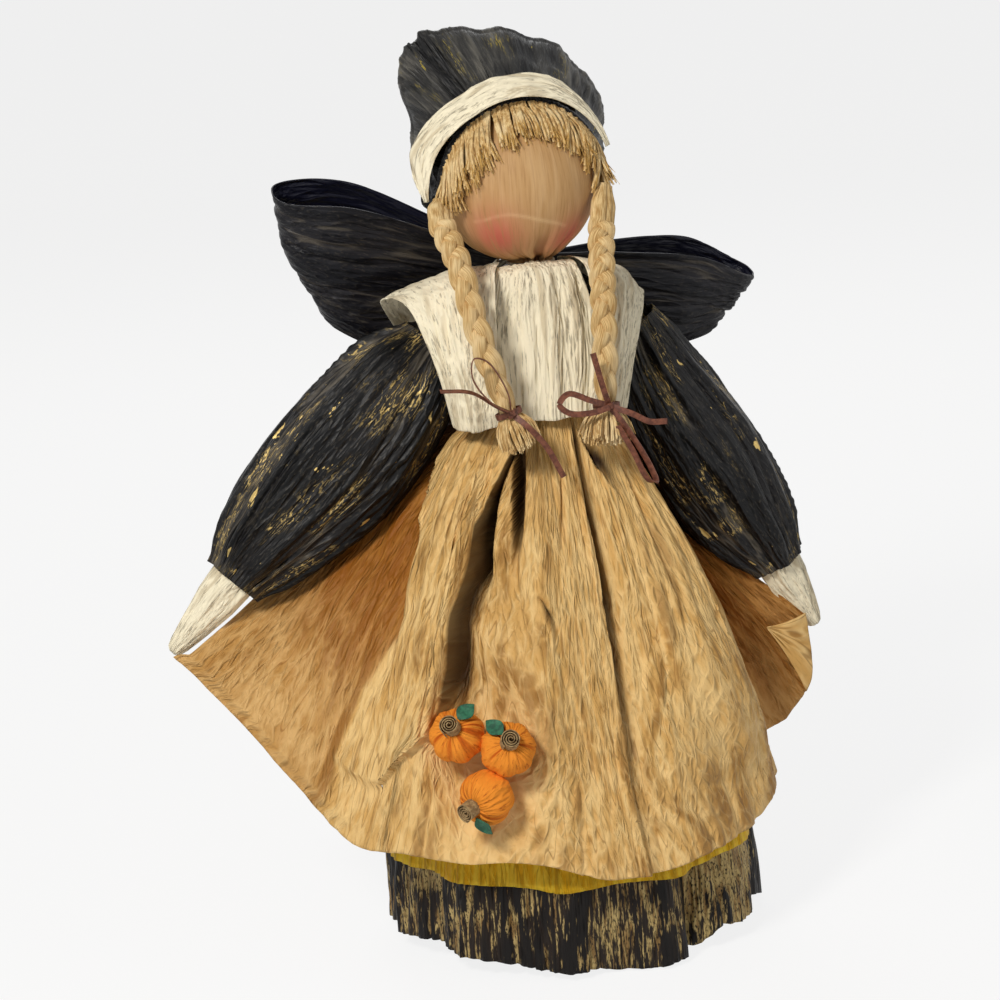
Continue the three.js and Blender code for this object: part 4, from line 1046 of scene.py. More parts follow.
# Name, solid, place of the tip from the middle, direction across, width along the loop, half width,
# opening, slant of the tip and flat size in metres
BOW_LOOPS = [
    ("bow_right_paper", "bow_right_loop", (-98, 10.4, 27), (-0.14, -0.3, 1),
     [(0, 0.6), (0.35, 0.8), (0.72, 1), (1, 0.84)], 32, 24, 0.85, (0.21, 0.05)),
    ("bow_left_paper", "bow_left_loop", (106, 10.4, -16.4), (0.3, -0.3, 1),
     [(0, 0.8), (0.35, 0.98), (0.72, 1), (1, 0.56)], 24, 20, 0.6, (0.22, 0.038)),
]


def bow_knot(u, v):
    """Upright knot of gathered paper."""
    turn, tilt = 2 * np.pi * u, np.pi * (0.03 + 0.94 * v)
    ring = np.sin(tilt) ** 0.8
    return BOW_CENTRE + np.stack([ring * np.cos(turn), ring * np.sin(turn), -np.cos(tilt)], -1) * KNOT_HALF


def turn_map(piece):
    """Swaps the map's axes, for paper whose grain runs along its columns."""
    layer = piece.data.uv_layers["paper"]
    values = np.empty(2 * len(layer.data), np.float32)
    layer.data.foreach_get("uv", values)
    layer.data.foreach_set("uv", values.reshape(-1, 2)[:, ::-1].ravel())


class DOLL_OT_bow(bpy.types.Operator):
    """Makes the big bow at the back"""

    bl_idname = "paper_doll.bow"
    bl_label = "Back bow"

    def execute(self, context):
        for k, (name, solid, tip, *shape, flat) in enumerate(BOW_LOOPS):
            size = millimetres(flat)
            grain = crinkle(2.2, size[::-1], across=3.6, along=60, seed=101 + 7 * k)

            def relief(u, v, grain=grain):
                return grain(v, u) * smooth(np.sin(np.pi * u), 0.0, 0.3)
            piece = paper_sheet(name, bow_loop(tip, *shape), 190, 64, size, finish_of("bow"), relief=relief)
            turn_map(piece)
            dress(piece, "torso", "bow", solid)
        size = (50.0, 34.0)
        gather = crinkle(0.9, size, across=4.5, along=30, seed=131, ring=True)
        piece = round_form("bow_knot_paper", bow_knot, 110, 60, size, finish_of("bow"),
                           relief=lambda u, v: gather(u, v) * np.sin(np.pi * v))
        dress(piece, "torso", "bow", "bow_knot")
        return {"FINISHED"}


# Head

# Middle and reach of the rouge on each cheek, and the route of the pale crease across the face
CHEEKS = [((-20.0, -22.0, 315.0), 11.0), ((10.5, -20.5, 312.0), 9.5)]
BROW_LINE = [(-28.5, -19.4, 321.6), (-16.1, -30.3, 324.8), (3.4, -30.2, 319.3), (9.0, -28.5, 316.5)]
NECK_SHARE = 0.9  # share of the face paper that lies on the ball; the rest is the neck
NECK_TILT = math.radians(165)  # where the paper leaves the ball
NECK_DROP = 3.2


def head_shape(u, v):
    """Ball with the paper drawn in to a short neck below it."""
    turn = 2 * np.pi * u
    tilt = NECK_TILT * np.minimum(v / NECK_SHARE, 1) + 0.002
    drop = np.maximum(0, (v - NECK_SHARE) / (1 - NECK_SHARE))
    radius = HEAD_RADIUS * np.sin(tilt) + 0.4 * drop
    z = HEAD_CENTRE[2] + HEAD_RADIUS * np.cos(tilt) - NECK_DROP * drop
    shift = HEAD_CENTRE[0] * (1 - smooth(tilt, math.radians(140), math.radians(164)))
    return np.stack([shift + radius * np.sin(turn), radius * np.cos(turn), z], -1)


def chin_folds(u, v):
    """1 in the folds of the paper that is drawn together at the neck, and 0 between them."""
    return np.abs(2 * field(u, v, 40, 1.0, 142, ring=True) - 1)


def head_pleats(u, v):
    """Fine gathers that deepen towards the neck."""
    fine, bold = field(u, v, 96, 1.2, 141, ring=True) - 0.5, 0.5 - chin_folds(u, v)
    return 0.15 * fine + (2.0 * bold + 0.7 * fine) * smooth(v, 0.56, 0.86) * (1 - 0.4 * smooth(v, 0.9, 1))


def gathers(u, v):
    """1 in the narrow folds drawn together under the chin, which take painted shade."""
    return smooth(chin_folds(u, v), 0.5, 0.95) * smooth(v, 0.62, 0.8)


def rouge(u, v):
    """1 in the middle of each cheek, fading outward."""
    spots = head_shape(u, v)
    return np.maximum.reduce([bell(np.linalg.norm((spots - place) * (1, 1, 0.85), axis=-1), 0, half)
                              for place, half in CHEEKS])


def brow_line(u, v):
    """1 along the pale crease that crosses the face above the cheeks."""
    path = HEAD_CENTRE + unit(spline(BROW_LINE, np.linspace(0, 1, 60)) - HEAD_CENTRE) * HEAD_RADIUS
    near = np.min(np.linalg.norm(head_shape(u, v)[:, :, None] - path, axis=-1), axis=-1)
    return bell(near, 0, 0.8)


class DOLL_OT_head(bpy.types.Operator):
    """Makes the plain face of drawn-down paper and the tie at the neck"""

    bl_idname = "paper_doll.head"
    bl_label = "Head"

    def execute(self, context):
        piece = round_form("face_paper_skin", head_shape, 260, 130, (200.0, 110.0), finish_of("face"),
                           relief=head_pleats, tone=rouge, line=brow_line, fold=gathers)
        dress(piece, "head", "face", "head_paper")
        tie = thread_ring("neck_thread", NECK_TIE_HEIGHT, NECK_TIE_RADIUS, NECK_THREAD)
        dress(tie, "head", "thread", "neck_tie")
        return {"FINISHED"}


# Bonnet

# Turn round the face in degrees, and the crown's reach there; then fullness and distance behind the band
CROWN_REACH = [(-112, 36), (-76, 40), (-60, 46), (-48, 57), (-37, 67), (-29, 73.5), (-19, 68), (-6, 63.5),
               (12, 61), (30, 58), (48, 54), (66, 48.5), (87, 43), (106, 42)]
CROWN_ROWS = [(0, -1), (0.5, 9), (1, 19), (0.9, 31), (0.64, 42), (0.2, 47)]
BONNET_ARCH = 8.0  # how far the front edge comes forward over the brow
CROWN_FULL = 19.0  # distance behind the band at which the crown is widest
CROWN_PLEATS = 14
CROWN_SUNK = 0.9  # how far the crinkled paper is let in
BAND_TURNS = (-94.0, 70.0)


def band_taper(turn):
    """The band narrows toward its ends, sooner on the doll's left."""
    return np.where(turn > 0, 1 - 0.8 * smooth(turn, math.radians(8), math.radians(70)),
                    1 - 0.9 * smooth(-turn, math.radians(66), math.radians(99)))


def band_flare(turn):
    """How far the band stands off the hair at the doll's right, in millimetres."""
    return 3.2 * smooth(-turn, math.radians(28), math.radians(72))


def arch(radius, turn, y):
    """Point on an upright ring round the face."""
    return BONNET_CENTRE + np.stack([radius * np.sin(turn), y, radius * np.cos(turn)], -1)


def crown_shape(u, v):
    """Puffed crown from the band back to its gathered end."""
    spot = even_spline(CROWN_REACH, u)
    turn, reach = np.radians(spot[..., 0]), spot[..., 1]
    rows = np.array(CROWN_ROWS)
    full = even_spline(rows, v)[..., 0]
    back = np.interp(v * (len(rows) - 1), np.arange(len(rows)), rows[:, 1])
    front = np.maximum(BAND_INNER + (BAND_OUTER - BAND_INNER) * band_taper(turn) - 4.8, BAND_INNER - 1)
    radius = np.where(back < CROWN_FULL, front + (reach - front) * full, reach * full)
    forward = BONNET_ARCH * np.cos(turn) * np.clip(1 - back / CROWN_FULL, 0, 1)
    pleat = np.sin(CROWN_PLEATS * turn + 2 * np.sin(3 * turn)) * smooth(back, -1, 12) * (0.5 + 0.5 * full)
    tuck = bell(turn, math.radians(-25) - 0.004 * back, 0.035) * between(back, -1, 6, 24, 36)
    return arch(radius + 0.9 * pleat - 3.4 * tuck, turn, back - 4 - forward)


def band_shape(u, v):
    """Strip that frames the face, narrower toward its ends."""
    start, end = BAND_TURNS
    turn = np.radians(start + (end - start) * u)
    reach = band_taper(turn) * v
    radius = BAND_INNER + band_flare(turn) + (BAND_OUTER - BAND_INNER) * reach
    swell = 0.9 * np.sin(np.pi * v)
    return arch(radius + swell, turn, -13 + 10 * reach - BONNET_ARCH * np.cos(turn) - swell)


class DOLL_OT_bonnet(bpy.types.Operator):
    """Makes the puffed bonnet and its cream band"""

    bl_idname = "paper_doll.bonnet"
    bl_label = "Bonnet"

    def execute(self, context):
        size = (200.0, 82.0)
        fine = crinkle(1.1, size, across=5.0, along=24, seed=151)
        broad = crinkle(2.4, size, across=17, along=60, seed=156)
        crown = paper_sheet("bonnet_crown_paper", crown_shape, 220, 100, size, finish_of("bonnet"),
                            relief=lambda u, v: fine(u, v) + broad(u, v) - CROWN_SUNK)
        dress(crown, "head", "bonnet", "bonnet_crown")
        grain = crinkle(0.9, (13.0, 130.0), across=3.2, along=26, seed=161)
        band = paper_sheet("bonnet_band_paper", band_shape, 200, 22, (130.0, 13.0), finish_of("cream"),
                           relief=lambda u, v: grain(v, u))
        turn_map(band)
        dress(band, "head", "cream", "bonnet_band")
        return {"FINISHED"}


# Strands of raffia, by geometry nodes along guide curves

def strand_tree():
    """Node tree that turns guide curves into tapering flat strands with a little waviness."""
    tree = bpy.data.node_groups.get("raffia_strands")
    if tree:
        return tree
    tree = bpy.data.node_groups.new("raffia_strands", "GeometryNodeTree")
    for name, kind in (("Geometry", "Geometry"), ("Width", "Float"), ("Waviness", "Float"), ("Tip", "Float"),
                       ("Seed", "Int"), ("Finish", "Material")):
        tree.interface.new_socket(name=name, in_out="INPUT", socket_type="NodeSocket" + kind)
    tree.interface.new_socket(name="Geometry", in_out="OUTPUT", socket_type="NodeSocketGeometry")

    def add(kind, values=None, out=0, **options):
        return node(tree, kind, values, **options).outputs[out]

    def times(a, b):
        return add("ShaderNodeMath", {0: a, 1: b}, operation="MULTIPLY")

    given = node(tree, "NodeGroupInput").outputs
    along = add("GeometryNodeSplineParameter", out="Factor")
    wave = add("ShaderNodeTexNoise", {"W": given["Seed"], "Scale": 260.0, "Detail": 1.0}, "Color",
               noise_dimensions="4D")
    sway = add("ShaderNodeVectorMath", {0: wave, 1: (0.5, 0.5, 0.5)}, operation="SUBTRACT")
    reach = times(along, given["Waviness"])
    sway = add("ShaderNodeVectorMath", {0: sway, "Scale": reach}, operation="SCALE")
    moved = add("GeometryNodeSetPosition", {"Geometry": given["Geometry"], "Offset": sway})
    taper = add("ShaderNodeMapRange", {"Value": along, "To Min": 1.0, "To Max": given["Tip"]})
    spread = add("FunctionNodeRandomValue", {2: 0.7, 3: 1.25, "Seed": given["Seed"]}, 1, data_type="FLOAT")
    size = times(times(taper, spread), given["Width"])
    oval = add("GeometryNodeCurvePrimitiveCircle", {"Resolution": 5, "Radius": 0.5}, "Curve")
    oval = add("GeometryNodeTransform", {"Geometry": oval, "Scale": (1.0, 0.55, 1.0)})
    tube = add("GeometryNodeCurveToMesh",
               {"Curve": moved, "Profile Curve": oval, "Scale": size, "Fill Caps": True})
    whole = add("GeometryNodeRealizeInstances", {0: tube})
    painted = add("GeometryNodeSetMaterial", {"Geometry": whole, "Material": given["Finish"]})
    node(tree, "NodeGroupOutput", {0: painted})
    return tree


def strands(name, paths, finish, width, waviness, tip, seed):
    """Mesh of strands along paths in millimetres, made by the strand tree and turned into a plain mesh."""
    curve = bpy.data.curves.new(name + "_guides", "CURVE")
    curve.dimensions = "3D"
    for path in paths:
        line = curve.splines.new("POLY")
        line.points.add(len(path) - 1)
        flat = np.concatenate([np.asarray(path) * MM, np.ones((len(path), 1))], 1)
        line.points.foreach_set("co", flat.astype(np.float32).ravel())
    guide = link(curve, name + "_guides")
    tree = strand_tree()
    modifier = guide.modifiers.new("strands", "NODES")
    modifier.node_group = tree
    values = {"Width": width * MM, "Waviness": waviness * MM, "Tip": tip, "Seed": seed, "Finish": finish}
    for item in tree.interface.items_tree:
        if item.in_out == "INPUT" and item.name in values:
            modifier[item.identifier] = values[item.name]
    graph = bpy.context.evaluated_depsgraph_get()
    mesh = bpy.data.meshes.new_from_object(guide.evaluated_get(graph), depsgraph=graph)
    bpy.data.objects.remove(guide)
    bpy.data.curves.remove(curve)
    mesh.name = name
    mesh.polygons.foreach_set("use_smooth", np.ones(len(mesh.polygons), bool))
    return link(mesh, name)


def on_head(spot, reach):
    """The spot moved out to that distance from the middle of the head, if it is nearer."""
    away = spot - HEAD_CENTRE
    return HEAD_CENTRE + away * max(1.0, reach / np.linalg.norm(away))


FRINGE_CLUMP = 5  # strands that lean together
FRINGE_TURNS = (-87.0, 83.0)  # degrees round the face
FRINGE_ROOT, FRINGE_FORWARD = 35.6, 12.5  # how far the strands' tops lie from the bonnet's middle
FRINGE_STEPS = 6  # parts of a strand
FRAYS = 3  # loose fibres at the end of a strand
LINING_TURNS = (-86.0, 84.0)
LINING_RADIUS, LINING_WIDTH = 34.9, 2.2


def fringe_paths():
    """Strands cut level that fall from under the bonnet's band over the forehead and the temples."""
    rng = np.random.default_rng(171)
    s = settings()
    clumps = s.fringe_count // FRINGE_CLUMP
    first, last = FRINGE_TURNS
    paths, frays = [], []
    for i in range(FRINGE_CLUMP * clumps):
        if i % FRINGE_CLUMP == 0:
            middle = first + (last - first) * (i / FRINGE_CLUMP + rng.uniform(0.1, 0.9)) / clumps
            lean, trim = rng.normal(0, 0.17), rng.uniform(0.86, 1.1)
        turn = math.radians(middle + rng.normal(0, 1.1))
        layer = rng.integers(0, 3)
        forward = -FRINGE_FORWARD - 0.4 * BONNET_ARCH * math.cos(turn)
        root = FRINGE_ROOT + 0.5 * rng.random()
        start = arch(root, turn, forward + 0.6 * layer)
        share = smooth(abs(turn), 0.2, 1.3)
        fall = np.array([0.12 * math.sin(turn), -0.62 * (1 - 0.75 * share), -1.0])
        fall = unit(fall + np.array([lean + rng.normal(0, 0.07), -0.14 * rng.random(), rng.normal(0, 0.06)]))
        length = s.fringe_length / MM * trim * rng.uniform(0.9, 1.06) * (0.86 + 0.2 * share)
        # shorter at the temples, and most so above the left plait, which swings there
        length = length * (1 - (0.66 if turn > 0 else 0.45) * smooth(abs(turn), 0.95, 1.45))
        reach = HEAD_RADIUS + 0.9 + 0.95 * layer
        path = np.array([on_head(start + fall * length * k / FRINGE_STEPS,
                                 reach + 1.9 * math.sin(math.pi * k / FRINGE_STEPS))
                         for k in range(FRINGE_STEPS + 1)])
        paths.append(path)
        tail = path[4:]
        grow = np.linspace(0, 1, len(tail))[:, None]
        for _ in range(FRAYS):
            side = rng.normal(0, 1.0, 3)
            reach_on = (tail[-1] - tail[-2]) * rng.uniform(0.0, 0.5)
            frays.append(tail + side * grow**1.5 + reach_on * grow**2)
    return paths, frays


def lining_shape(u, v):
    """Dark edge of the bonnet's inside, behind the fringe."""
    first, last = LINING_TURNS
    turn = np.radians(first + (last - first) * u)
    return arch(LINING_RADIUS + LINING_WIDTH * v, turn, -10.2 - 3.2 * np.cos(turn) - 1.6 * np.sin(np.pi * v))


class DOLL_OT_fringe(bpy.types.Operator):
    """Makes the cut fringe of raffia under the bonnet"""

    bl_idname = "paper_doll.fringe"
    bl_label = "Fringe"

    def execute(self, context):
        width = settings().strand_width / MM
        paths, frays = fringe_paths()
        main = strands("fringe_strands", paths, finish_of("straw"), 1.6 * width, waviness=1.2, tip=0.85,
                       seed=3)
        dress(main, "head", "straw", "fringe")
        loose = strands("fringe_frays", frays, finish_of("fray"), 0.6 * width, waviness=1.5, tip=0.6, seed=4)
        dress(loose, "head", "fray")
        lining = paper_sheet("bonnet_lining", lining_shape, 160, 8, (110.0, 4.0), finish_of("black"),
                             relief=lambda u, v: 0.5 * (field(u, v, 120, 2, 181) - 0.5), thickness=1.2)
        dress(lining, "head", "black")
        return {"FINISHED"}


# Plaits

KNOT_DROP = 54.0  # from the neck down to the ribbons
PLAIT_SEAT = HEAD_RADIUS + 0.4 + 0.66 * 6.2  # from the middle of the head to the left plait's top
PLAIT_LENGTH = 95.0
PLAIT_TURNS = 3.6
PLAIT_START = 0.24  # share of the length above which the strands hang side by side
STRAND_HALF_WIDTH, STRAND_HALF_DEPTH = 3.5, 1.95
STRAND_SWAY, STRAND_DIP = 2.6, 1.9
RIBBON_WIDTH, RIBBON_THICKNESS = 2.5, 0.45
WOUND_HALF = (5.6, 4.2)  # half width and half depth of the ribbon's turn round the plait
TUFT_LENGTH = 16.5
TUFT_SPREAD = {"right": 4.4, "left": 8.0}

PLAITS = {
    "right": [(-41.5, -14, 331), (-44, -23, NECK_HEIGHT + 26), (-40.5, -33, NECK_HEIGHT + 10),
              (-37, -45.2, NECK_HEIGHT - 18), (-27, -50, NECK_HEIGHT - KNOT_DROP)],
    "left": [tuple(HEAD_CENTRE + unit((0.84, -0.54, -0.06)) * PLAIT_SEAT), (23, -31.5, NECK_HEIGHT + 14),
             (18.5, -43.5, NECK_HEIGHT - 12), (15.5, -49, NECK_HEIGHT - KNOT_DROP - 2)],
}
# Direction across each strip of ribbon, and its steps from the knot
RIBBONS = {
    "right": [((0.3, 0.9, -0.1), [(-2, -3, 10), (-10, -4, 24), (-16, -5, 26), (-17, -5, 18), (-10, -5.4, 7),
                                  (-1, -3.4, 1)]),
              ((0.2, 0.9, 0.3), [(-8, -4, 5), (-18, -4.6, 12), (-31, -4, 14)]),
              ((0.9, -0.2, 0.4), [(6, -4.4, -6), (13, -4.6, -15), (20, -3.4, -29)])],
    "left": [((0.2, 0.2, 1), [(-9, -4, 4), (-19, -4, 8), (-23, -4.6, 4), (-19, -5.2, 0), (-9, -5, -1),
                              (-1, -3.4, 0)]),
             ((1, -0.2, 0.2), [(-3, -3, 8), (-7, -4, 24)]),
             ((0.2, 0.2, 1), [(9, -4, -4), (16, -4, -8), (24, -3.4, -9)]),
             ((0.8, -0.5, 0), [(6, -4.4, -10), (15, -5, -27), (17, -5.4, -34), (14, -5.8, -33),
                               (7, -5.2, -18), (2, -4.6, -8)])],
}


def plait_frame(side, t):
    """Middle, and directions along, across and out of the face of a plait along its length."""
    ahead, behind = (spline(PLAITS[side], np.clip(t + step, 0, 1)) for step in (0.004, -0.004))
    along = unit(ahead - behind)
    wide = unit(np.array([1.0, 0, 0]) - along * along[:, :1])
    return spline(PLAITS[side], t), along, wide, np.cross(along, wide)


def plait_end(side):
    """Frame at the lower end of a plait."""
    return (value[0] for value in plait_frame(side, np.array([1.0])))


def plait_strand(side, k):
    """One of the three strands, a ridged oval rope that crosses over the others in turn."""
    def at(u, v):
        t = v[0]
        middle, along, wide, face = plait_frame(side, t)
        phase = 2 * np.pi * (PLAIT_TURNS * np.maximum(t - PLAIT_START, 0) + k / 3)
        slim = 1 - 0.28 * smooth(t, 0.86, 1.0) - 0.4 * (1 - smooth(t, 0.0, 0.14))
        sway, dip = slim * STRAND_SWAY * np.sin(phase), slim * STRAND_DIP * np.sin(2 * phase)
        centre = middle + wide * sway[:, None] + face * dip[:, None]
        crossing = STRAND_HALF_WIDTH * 2 * np.pi * PLAIT_TURNS * np.cos(phase)
        lean = np.arctan2(crossing, PLAIT_LENGTH) * smooth(t, 0.2, 0.32)
        turn = 2 * np.pi * u
        ridge = 1 + 0.045 * np.cos(9 * turn + 6 * t[None]) + 0.03 * np.cos(17 * turn)
        x = STRAND_HALF_WIDTH * slim * ridge * np.cos(turn)
        y = STRAND_HALF_DEPTH * slim * ridge * np.sin(turn)
        bulge = 1 + 0.1 * np.cos(2 * phase)
        spots = centre[None] + wide[None] * (x * bulge * np.cos(lean))[..., None] + face[None] * y[..., None]
        return spots - along[None] * (x * np.sin(lean) * 0.5)[..., None]
    return at


def ribbon_strip(path, across):
    """Flat strip along a path, as points and faces."""
    line = spline(path, np.linspace(0, 1, 12 * len(path)))
    along = unit(np.gradient(line, axis=0))
    across = np.asarray(across, float)
    side = unit(across - along * (along @ across)[:, None])
    face = np.cross(along, side)
    corners = [(-0.5, -0.5), (0, -0.35), (0.5, -0.5), (0.5, 0.5), (0, 0.65), (-0.5, 0.5)]
    rings = np.stack([line + a * RIBBON_WIDTH * side + b * RIBBON_THICKNESS * face for a, b in corners], 1)
    sides = len(corners)
    i, k = np.indices((len(line) - 1, sides))
    n = (k + 1) % sides
    here, next_one = i * sides, (i + 1) * sides
    faces = np.stack([next_one + k, next_one + n, here + n, here + k], -1).reshape(-1, 4)
    caps = np.array([[0, 1, 4, 5], [1, 2, 3, 4]])
    return rings.reshape(-1, 3), np.concatenate([faces, caps, caps[:, ::-1] + (len(line) - 1) * sides])


def ribbon(side):
    """Ribbon wound round the end of a plait and tied in a bow with loose tails."""
    middle, along, wide, face = plait_end(side)
    toward = face if face[1] < 0 else -face
    waist = middle - along * 1.6
    turn = np.linspace(0, 2 * np.pi, 40)[:, None]
    wound = waist + wide * WOUND_HALF[0] * np.cos(turn) + face * WOUND_HALF[1] * np.sin(turn)
    front = waist + toward * 4.4
    knot = [front + wide * x + toward * y + along * z for x, y, z in
            ((-1.9, 0, 0.8), (-1.2, 1.4, 0.4), (0, 1.9, 0), (1.2, 1.4, -0.4), (1.9, 0, -0.8))]
    strips = [(wound, along), (knot, along)]
    strips += [(front + np.array([(0, 0, 0), *steps]), across) for across, steps in RIBBONS[side]]
    points, faces, total = [], [], 0
    for path, across in strips:
        strip, sides = ribbon_strip(path, across)
        points.append(strip)
        faces.append(sides + total)
        total += len(strip)
    points, faces = np.concatenate(points), np.concatenate(faces)
    piece = make_piece(side + "_ribbon_bow", points, faces, finish_of("ribbon"))
    piece.data.polygons.foreach_set("use_smooth", np.zeros(len(piece.data.polygons), bool))
    return piece


def tuft_paths(side, count, seed):
    """Loose ends that spread below the ribbon, cut to a rounded brush and flat toward the collar."""
    rng = np.random.default_rng(seed)
    middle, along, wide, face = plait_end(side)
    paths = []
    for _ in range(count):
        turn, share = rng.uniform(0, 2 * np.pi), math.sqrt(rng.random())
        x, y = share * math.cos(turn), max(share * math.sin(turn), -0.3)
        root = middle - along * 1.0 + wide * 4.2 * x + face * 3.0 * y
        length = (TUFT_LENGTH - 3.5 * share**2) * rng.uniform(0.85, 1.08)
        out, up = TUFT_SPREAD[side] * x + rng.normal(0, 0.8), 4.6 * y + rng.normal(0, 0.6)
        tip = root + along * length + wide * out + face * up
        belly = (root + tip) / 2 + wide * 2.0 * x + face * 1.2 * y
        paths.append(spline([root, belly, tip], np.linspace(0, 1, 6)))
    return paths


class DOLL_OT_plaits(bpy.types.Operator):
    """Makes the two three-strand plaits with their ribbons and tufts"""

    bl_idname = "paper_doll.plaits"
    bl_label = "Plaits"

    def execute(self, context):
        width = settings().strand_width / MM
        for seed, side in enumerate(("right", "left")):
            body = side + "_plait"
            for k in range(3):
                rope = round_form(f"{side}_plait_strand_{k + 1}", plait_strand(side, k), 30, 130,
                                  (16.0, 105.0), finish_of("plait"))
                dress(rope, body, "plait", *([side + "_braid"] if k == 0 else []))
            ends = tuft_paths(side, settings().tuft_count, 191 + seed)
            tuft = strands(side + "_plait_tuft", ends, finish_of("straw"), width, waviness=0.4, tip=0.9,
                           seed=7 + seed)
            dress(tuft, body, "straw", side + "_tuft")
            dress(ribbon(side), body, "ribbon", side + "_ribbon")
        return {"FINISHED"}


# Arms

SLEEVE_FLAT = (150.0, 140.0)
HAND_FLAT = (60.0, 40.0)
HAND_TUCK = 1.5  # how far the hand reaches up into the sleeve
# Share of the sleeve's length, its fullness there, and how far it sags toward the body
SLEEVE_ROWS = {
    "right": [(0, 0.42, 0), (0.02, 0.48, 0), (0.07, 0.64, 0.8), (0.16, 0.82, 1.6), (0.3, 0.94, 2.4),
              (0.46, 0.97, 2.4), (0.6, 0.91, 2), (0.76, 0.78, 1), (0.88, 0.62, 0), (0.96, 0.47, 0),
              (1, 0.4, 0)],
    "left": [(0, 0.44, 0), (0.02, 0.5, 0), (0.07, 0.56, 1.6), (0.16, 0.66, 3.2), (0.3, 0.83, 3.8),
             (0.48, 0.98, 3.4), (0.62, 0.97, 3.1), (0.76, 0.88, 2.8), (0.88, 0.71, 1.4), (0.96, 0.55, 0.4),
             (1, 0.48, 0)],
}
# Share of the hand's length, half width and half depth as shares of the wrist's radius
HAND_ROWS = np.array([(0, 0.9, 0.83), (0.3, 0.86, 0.66), (0.62, 0.62, 0.45), (0.88, 0.4, 0.34),
                      (0.97, 0.28, 0.28), (1, 0.1, 0.1)])


def to_arm(side, along, deep, wide):
    """Place in the doll's frame of a point drawn along an arm."""
    turn = math.radians(ARM_ANGLE[side])
    c, s = math.cos(turn), math.sin(turn)
    return SHOULDER[side] + np.stack([along * c + wide * s, deep, -along * s + wide * c], -1)


def sleeve_shape(side):
    """Balloon of a sleeve from shoulder to wrist."""
    rows = np.array(SLEEVE_ROWS[side])
    puff, inward = SLEEVE_PUFF[side], (1 if side == "right" else -1)

    def eased(v, column):
        steps = (np.clip(v + step, 0, 1) for step in (-0.03, 0, 0.03))
        return sum(np.interp(place, rows[:, 0], rows[:, column]) for place in steps) / 3

    def at(u, v):
        turn = 2 * np.pi * u
        fill, sag = eased(v, 1), eased(v, 2)
        wide = np.maximum(WRIST_RADIUS, puff * fill)
        deep = np.maximum(0.9 * WRIST_RADIUS, SLEEVE_DEPTH * fill)
        return to_arm(side, v * SLEEVE_LENGTH, deep * np.sin(turn), wide * np.cos(turn) + inward * sag)
    return at


def sleeve_folds(seed):
    """Puffed folds along the sleeve with sharp valleys between them, and crisp crinkles on top."""
    s = settings()

    def relief(u, v):
        sway = 0.06 * (field(u, v, 8, 2, seed, ring=True) - 0.5)
        puff = np.abs(2 * field(u + sway, v, 20, 1.2, seed + 1, ring=True) - 1) ** 0.8
        sharp = crest(u + 1.5 * sway, v, 32, 1.6, seed + 2, ring=True)
        dent = field(u, v, 6, 4, seed + 3, ring=True) - 0.5
        fine = creases(u, v, SLEEVE_FLAT, across=4.0, along=20, seed=seed + 4, ring=True)
        total = s.sleeve_fold / MM * (puff - 0.75) + 2.0 * (sharp - 0.55)
        total = total + 1.6 * dent * smooth(v, 0.08, 0.25)
        calm = (0.3 + 0.7 * smooth(v, 0.0, 0.14)) * (1 - 0.55 * smooth(v, 0.88, 1.0))
        return total * calm + 0.5 * s.crinkle / MM * fine
    return relief


def hand_shape(side):
    """Hand of twisted paper that narrows to a point."""
    def at(u, v):
        turn = 2 * np.pi * u
        fold = 1 + 0.05 * np.cos(7 * turn + 3 * v) + 0.03 * np.cos(13 * turn - 2 * v)
        wide, deep = (WRIST_RADIUS * np.interp(v, HAND_ROWS[:, 0], HAND_ROWS[:, k]) * fold for k in (1, 2))
        along = HAND_START - HAND_TUCK + v * (HAND_LENGTH[side] + HAND_TUCK)
        return to_arm(side, along, deep * np.sin(turn), wide * np.cos(turn))
    return at


class DOLL_OT_arms(bpy.types.Operator):
    """Makes the puffed sleeves and the twisted paper hands"""

    bl_idname = "paper_doll.arms"
    bl_label = "Arms"

    def execute(self, context):
        for k, side in enumerate(("right", "left")):
            body = side + "_arm"
            sleeve = paper_sheet(side + "_sleeve_paper", sleeve_shape(side), 300, 150, SLEEVE_FLAT,
                                 finish_of("sleeve"), ring=True, relief=sleeve_folds(201 + 20 * k))
            dress(sleeve, body, "sleeve", side + "_sleeve")
            hand = round_form(side + "_hand_paper", hand_shape(side), 90, 60, HAND_FLAT, finish_of("cream"),
                              relief=crinkle(0.5, HAND_FLAT, across=4, along=30, seed=261 + 9 * k,
                                             ring=True))
            dress(hand, body, "cream", side + "_hand")
        return {"FINISHED"}


# Pumpkins

# Direction of each pumpkin's stem, and the turn of its leaf round it in degrees
PUMPKINS = [((-0.4, -0.7, 0.6), 295), ((-0.1, -0.8, 0.55), 30), ((-0.8, -0.55, -0.2), 150)]
PUMPKIN_TOP = 0.88 * PUMPKIN_RADIUS * math.cos(0.29) + 0.2
STEM_TURNS, STEM_HEIGHT, STEM_CORE, STEM_RADIUS = 3.6, 6.0, 0.6, 4.2
STEM_SUNK = 1.4  # how deep the stem sits in the crepe
LEAF_LENGTH, LEAF_HALF_WIDTH = 10.0, 4.2
TRIM_SHEET = 0.4  # thickness of stem and leaf paper


def on_axis(centre, axis):
    """Puts points drawn round +Z at a centre, with +Z turned to the axis by the shortest way."""
    a = unit(axis)
    cross = np.array([[0, 0, a[0]], [0, 0, a[1]], [-a[0], -a[1], 0]])
    turned = np.eye(3) + cross + cross @ cross / (1 + a[2])
    return lambda *local: centre + np.stack(local, -1) @ turned.T


